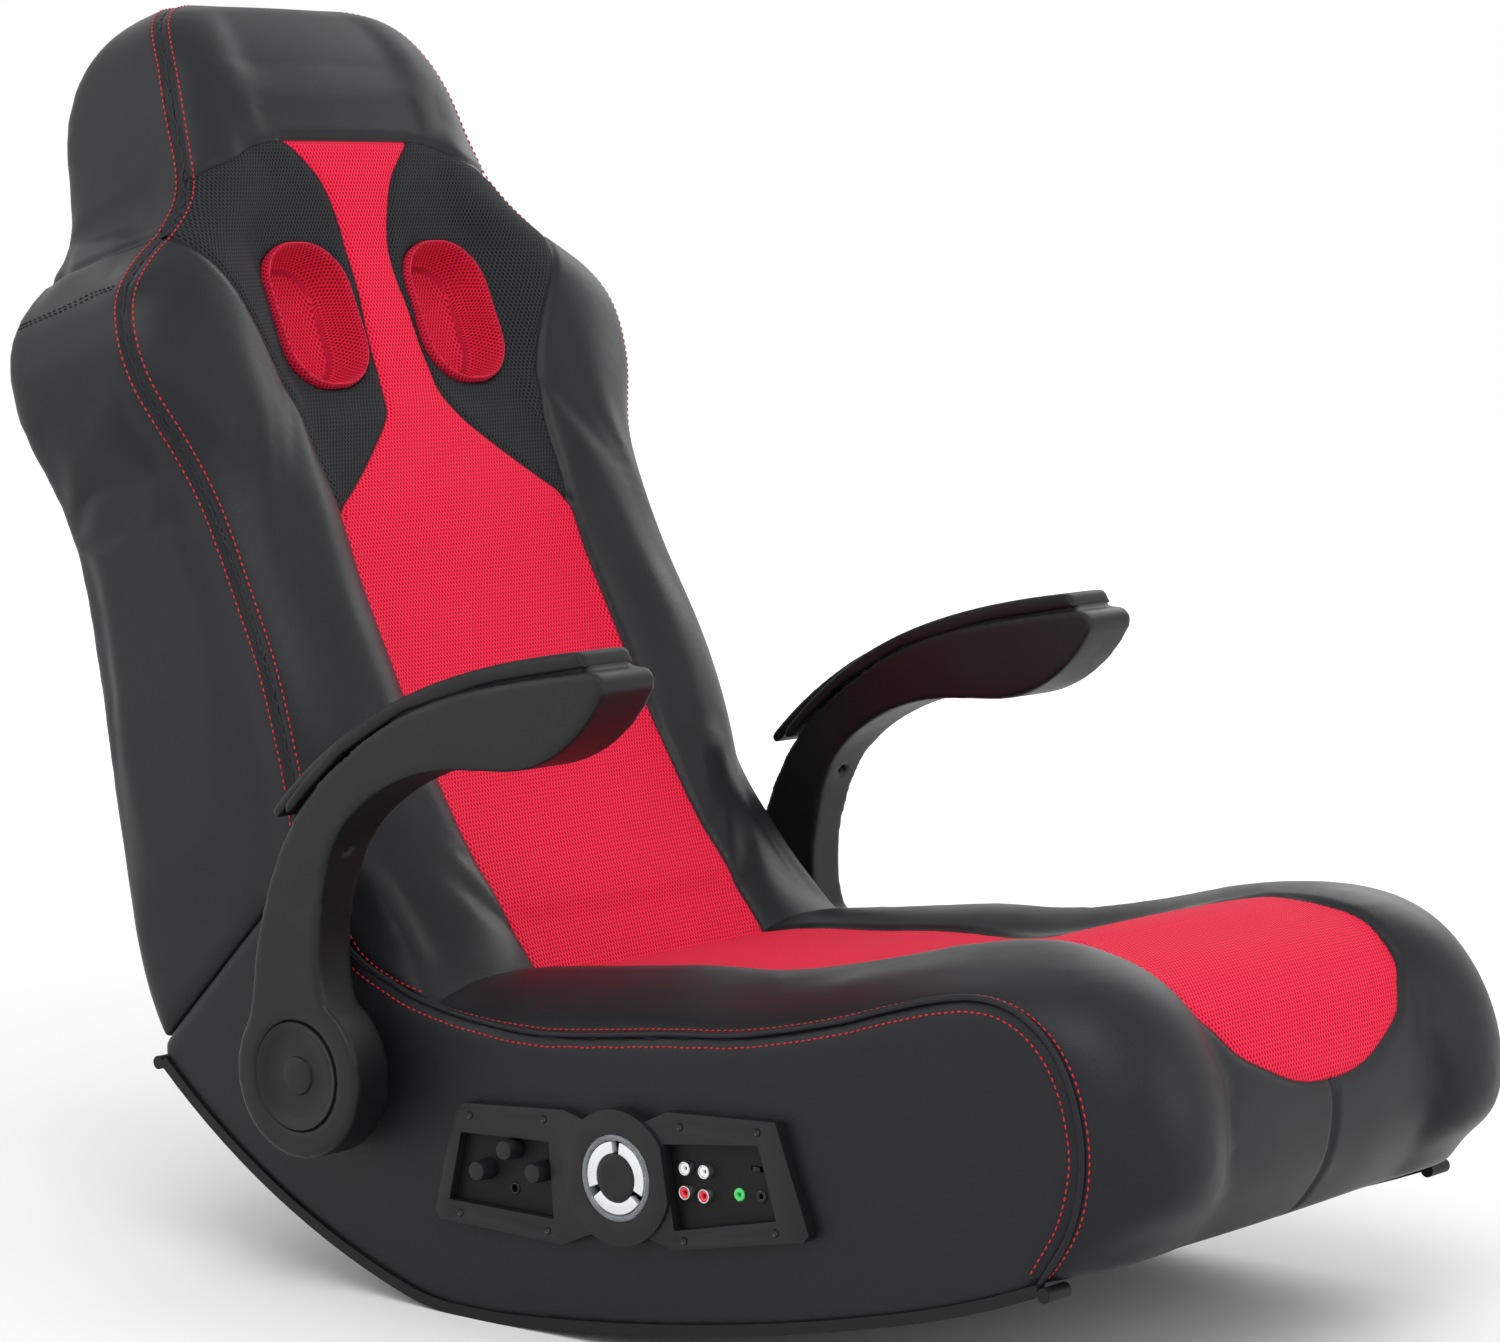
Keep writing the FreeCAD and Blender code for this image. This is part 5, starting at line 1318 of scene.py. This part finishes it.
class ROCKER_OT_sockets(bpy.types.Operator):
    """Turned sockets of the front and rear windows, and the slide switch"""
    bl_idname = "rocker.sockets"
    bl_label = "Sockets"

    def execute(self, context):
        for colour, z in (("white", 135.5), ("red", 119.0)):
            for number, y in enumerate((-206.5, -223.2)):
                self.pin_socket(colour, number, y, z)
        self.round_socket("headphone_socket", "Socket Green", "green_plastic", -249.9, 123.0, 0.00175)
        self.round_socket("link_socket", "Gloss Black", "gloss_black", -268.9, 124.5, 0.00175)
        self.round_socket("power_inlet", "Gloss Black", "gloss_black", -48.9, 99.0, 0.00275)
        switch = bevelled("slide_switch", "power_switch", 0.0004)
        fit(switch, "Gloss Black", "gloss_black", "power_switch", "power_switch")
        return {"FINISHED"}

    def turned(self, name, mouth, profile, y, z, steps):
        return spun(name, [(mouth + x, r) for x, r in profile], *in_side_view(y, z), steps)

    def pin_socket(self, colour, number, y, z):
        """Plated shell, coloured insert and the pit in its middle."""
        node = "rca_sockets_" + colour
        slot = colour + "_plastic"
        mouth = PLATE_FACE - 0.008
        shell = ((0.0012, 0.0039), (0.0002, 0.0040), (0, 0.0042), (0, 0.0046), (0.0004, 0.0048),
                 (0.006, 0.0048), (0.009, 0.0049))
        insert = ((0.0013, 0.0040), (0.0008, 0.0038), (0.0008, 0.0021), (0.0012, 0.0018), (0.0060, 0.0017))
        pit = ((0.0040, 0.0018), (0.0041, POINT))
        obj = self.turned("%s_shell_%d" % (node, number), mouth, shell, y, z, 40)
        fit(obj, "Plated Steel", slot, "base", node)
        obj = self.turned("%s_insert_%d" % (node, number), mouth, insert, y, z, 40)
        fit(obj, "Socket " + colour.capitalize(), slot, "base")
        obj = self.turned("%s_hole_%d" % (node, number), mouth, pit, y, z, 24)
        fit(obj, "Plate Moulding", slot, "base")

    def round_socket(self, node, finish, slot, y, z, hole):
        """Ring with a deep throat."""
        mouth = PLATE_FACE - 0.003
        ring = ((0.013, hole), (0.0003, hole), (0, hole + 0.0003), (0, 0.0040), (0.0005, 0.0045),
                (0.004, 0.0045))
        obj = self.turned(node + "_ring", mouth, ring, y, z, 48)
        sharp_edges(obj, 50)
        fit(obj, finish, slot, "base", node)
        throat = ((0.0129, hole + 0.0001), (0.0131, POINT))
        obj = self.turned(node + "_throat", mouth, throat, y, z, 32)
        fit(obj, "Plate Moulding", slot, "base")


class ROCKER_OT_dial(bpy.types.Operator):
    """Clear ring, silver press arcs and plain centre of the dial"""
    bl_idname = "rocker.dial"
    bl_label = "Dial"

    def execute(self, context):
        face = -0.2575
        y, z = in_side_view(-150, 122)
        ring = ((0.006, 0.0298), (-0.0004, 0.0298), (-0.0010, 0.0290), (-0.0011, 0.0275), (-0.0004, 0.0260),
                (0.0010, 0.0256), (0.006, 0.0256), (0.006, 0.0298))
        disc = ((0.002, 0.0166), (-0.0001, 0.0166), (-0.0004, 0.0162), (-0.0002, 0.0120), (0.0001, 0.0060),
                (0.0002, POINT))
        obj = spun("dial_lens", [(face + x, r) for x, r in ring], y, z, 96)
        fit(obj, "Clear Ring", "clear", "base", "dial_ring")
        obj = spun("dial_disc", [(face + x, r) for x, r in disc], y, z, 72)
        fit(obj, "Gloss Black", "gloss_black", "base", "dial_centre")
        for name in ("front", "rear", "low"):
            node = "dial_button_" + name
            fit(bevelled("press_arc_" + name, node, 0.0005, 3), "Dial Silver", "silver", node, node)
        return {"FINISHED"}


class ROCKER_OT_inner_parts(bpy.types.Operator):
    """Finishes of the frame, boards and sound parts"""
    bl_idname = "rocker.inner_parts"
    bl_label = "Inner Parts"

    def execute(self, context):
        finishes = {
            "Stained Board": ("seat_deck", "front_rail", "middle_rail", "deck_rail", "rear_rail",
                              "subwoofer_box", "rocker_board_left", "rocker_board_right"),
            "Bottom Fleece": ("bottom_panel",),
            "Painted Tube": ("arm_pivot_left", "arm_pivot_right", "back_tube", "back_cross_bars",
                             "seat_hinge_left", "seat_hinge_right", "back_hinge_left", "back_hinge_right"),
            "Cone Paper": ("speaker_left", "speaker_right", "subwoofer"),
            "Cover Leather": ("crease_roll",),
            "Trim Rubber": ("rocker_trim_left", "rocker_trim_right"),
        }
        for name, nodes in finishes.items():
            for node in nodes:
                dress_node(node, name)
        return {"FINISHED"}


class ROCKER_OT_stage(bpy.types.Operator):
    """Pale floor, soft studio light and the camera"""
    bl_idname = "rocker.stage"
    bl_label = "Stage"

    def execute(self, context):
        self.camera()
        self.floor()
        self.lamps()
        self.world()
        context.scene.view_settings.view_transform = "Standard"
        return {"FINISHED"}

    def camera(self):
        data = bpy.data.cameras.new("Camera")
        data.lens = 107.48
        data.sensor_width = 36.0
        data.clip_start = 0.05
        data.clip_end = 60.0
        camera = link("Camera", data)
        camera.location = (-2.5157, -2.1005 + LOW_Y, 0.7860)
        ahead = Vector((0.77202, 0.62669, -0.10608))
        camera.rotation_mode = "QUATERNION"
        camera.rotation_quaternion = ahead.to_track_quat("-Z", "Y")
        bpy.context.scene.camera = camera

    def floor(self):
        bm = bmesh.new()
        bmesh.ops.create_grid(bm, x_segments=1, y_segments=1, size=9.0)
        obj = add_object("studio_floor", bm)
        made, tree, shader, place = blank_material("Studio Floor")
        cloud = noise(tree, place["Object"], 1.5, 2.0)
        far = vector_node(tree, "LENGTH", place["Object"])
        glow = map_range(tree, far, 1.3, 3.2, 0.0, 0.5)
        feed_all(tree, shader, {"Base Color": mix_colour(tree, cloud, (0.88, 0.88, 0.88), (0.92, 0.92, 0.92)),
                                "Emission Color": mix_colour(tree, glow, (0.0, 0.0, 0.0), (1.0, 1.0, 1.0)),
                                "Emission Strength": 1.0, "Roughness": 0.9, "Specular IOR Level": 0.1})
        obj.data.materials.append(made)

    def lamps(self):
        """Square soft boxes: place, aim, width and power."""
        boxes = {
            "Key": ((-2.2, -1.6, 3.4), (0, 0, 0.4), 2.6, 70.0),
            "Front": ((0.9, -4.0, 1.7), (0, -0.2, 0.3), 2.2, 32.0),
            "Side": ((3.0, 0.4, 2.2), (0, 0.1, 0.5), 2.0, 26.0),
            "Rear": ((-2.6, 2.2, 1.8), (0, 0.2, 0.5), 2.0, 20.0),
        }
        for name, (place, aim, width, power) in boxes.items():
            data = bpy.data.lights.new(name, "AREA")
            data.shape = "SQUARE"
            data.size = width
            data.energy = power
            lamp = link(name, data)
            lamp.location = place
            lamp.rotation_mode = "QUATERNION"
            lamp.rotation_quaternion = (Vector(aim) - Vector(place)).to_track_quat("-Z", "Y")

    def world(self):
        """Full white where a ray sees the world, a little less as light on the chair."""
        studio = bpy.data.worlds.new("Studio")
        bpy.context.scene.world = studio
        studio.use_nodes = True
        tree = studio.node_tree
        tree.nodes.clear()
        rays = add_node(tree, "LightPath").outputs
        seen = math_node(tree, "MAXIMUM", rays["Is Camera Ray"], rays["Is Glossy Ray"])
        seen = math_node(tree, "MAXIMUM", seen, rays["Is Transmission Ray"])
        strength = map_range(tree, seen, 0.0, 1.0, 0.80, 1.0, "LINEAR")
        shade = add_node(tree, "Background", (("Color", (1.0, 1.0, 1.0)), ("Strength", strength)))
        add_node(tree, "OutputWorld", (("Surface", shade.outputs[0]),))


PIECES = (ROCKER_OT_seat_cover, ROCKER_OT_back_cover, ROCKER_OT_side_panels, ROCKER_OT_seams,
          ROCKER_OT_pockets, ROCKER_OT_arms, ROCKER_OT_arm_pads, ROCKER_OT_control_panel,
          ROCKER_OT_knobs, ROCKER_OT_sockets, ROCKER_OT_dial, ROCKER_OT_inner_parts, ROCKER_OT_stage)


class ROCKER_PT_panel(bpy.types.Panel):
    """Lists the chair's pieces"""
    bl_idname = "ROCKER_PT_panel"
    bl_label = "Rocker Chair"
    bl_space_type = "VIEW_3D"
    bl_region_type = "UI"
    bl_category = "Rocker Chair"

    def draw(self, context):
        column = self.layout.column()
        for group in (context.scene.rocker_finish, context.scene.rocker_sizes):
            for label in group.bl_rna.properties.keys():
                if label not in {"rna_type", "name"}:
                    column.prop(group, label)
        for piece in PIECES:
            column.operator(piece.bl_idname)


CLASSES = (RockerFinish, RockerSizes, *PIECES, ROCKER_PT_panel)


def register():
    for entry in CLASSES:
        bpy.utils.register_class(entry)
    bpy.types.Scene.rocker_finish = PointerProperty(type=RockerFinish)
    bpy.types.Scene.rocker_sizes = PointerProperty(type=RockerSizes)


def unregister():
    del bpy.types.Scene.rocker_sizes
    del bpy.types.Scene.rocker_finish
    for entry in reversed(CLASSES):
        bpy.utils.unregister_class(entry)


def main():
    register()
    leather_group()
    mesh_group()
    plastic_group()
    for piece in PIECES:
        group, name = piece.bl_idname.split(".")
        getattr(getattr(bpy.ops, group), name)()


if __name__ == "__main__":
    main()
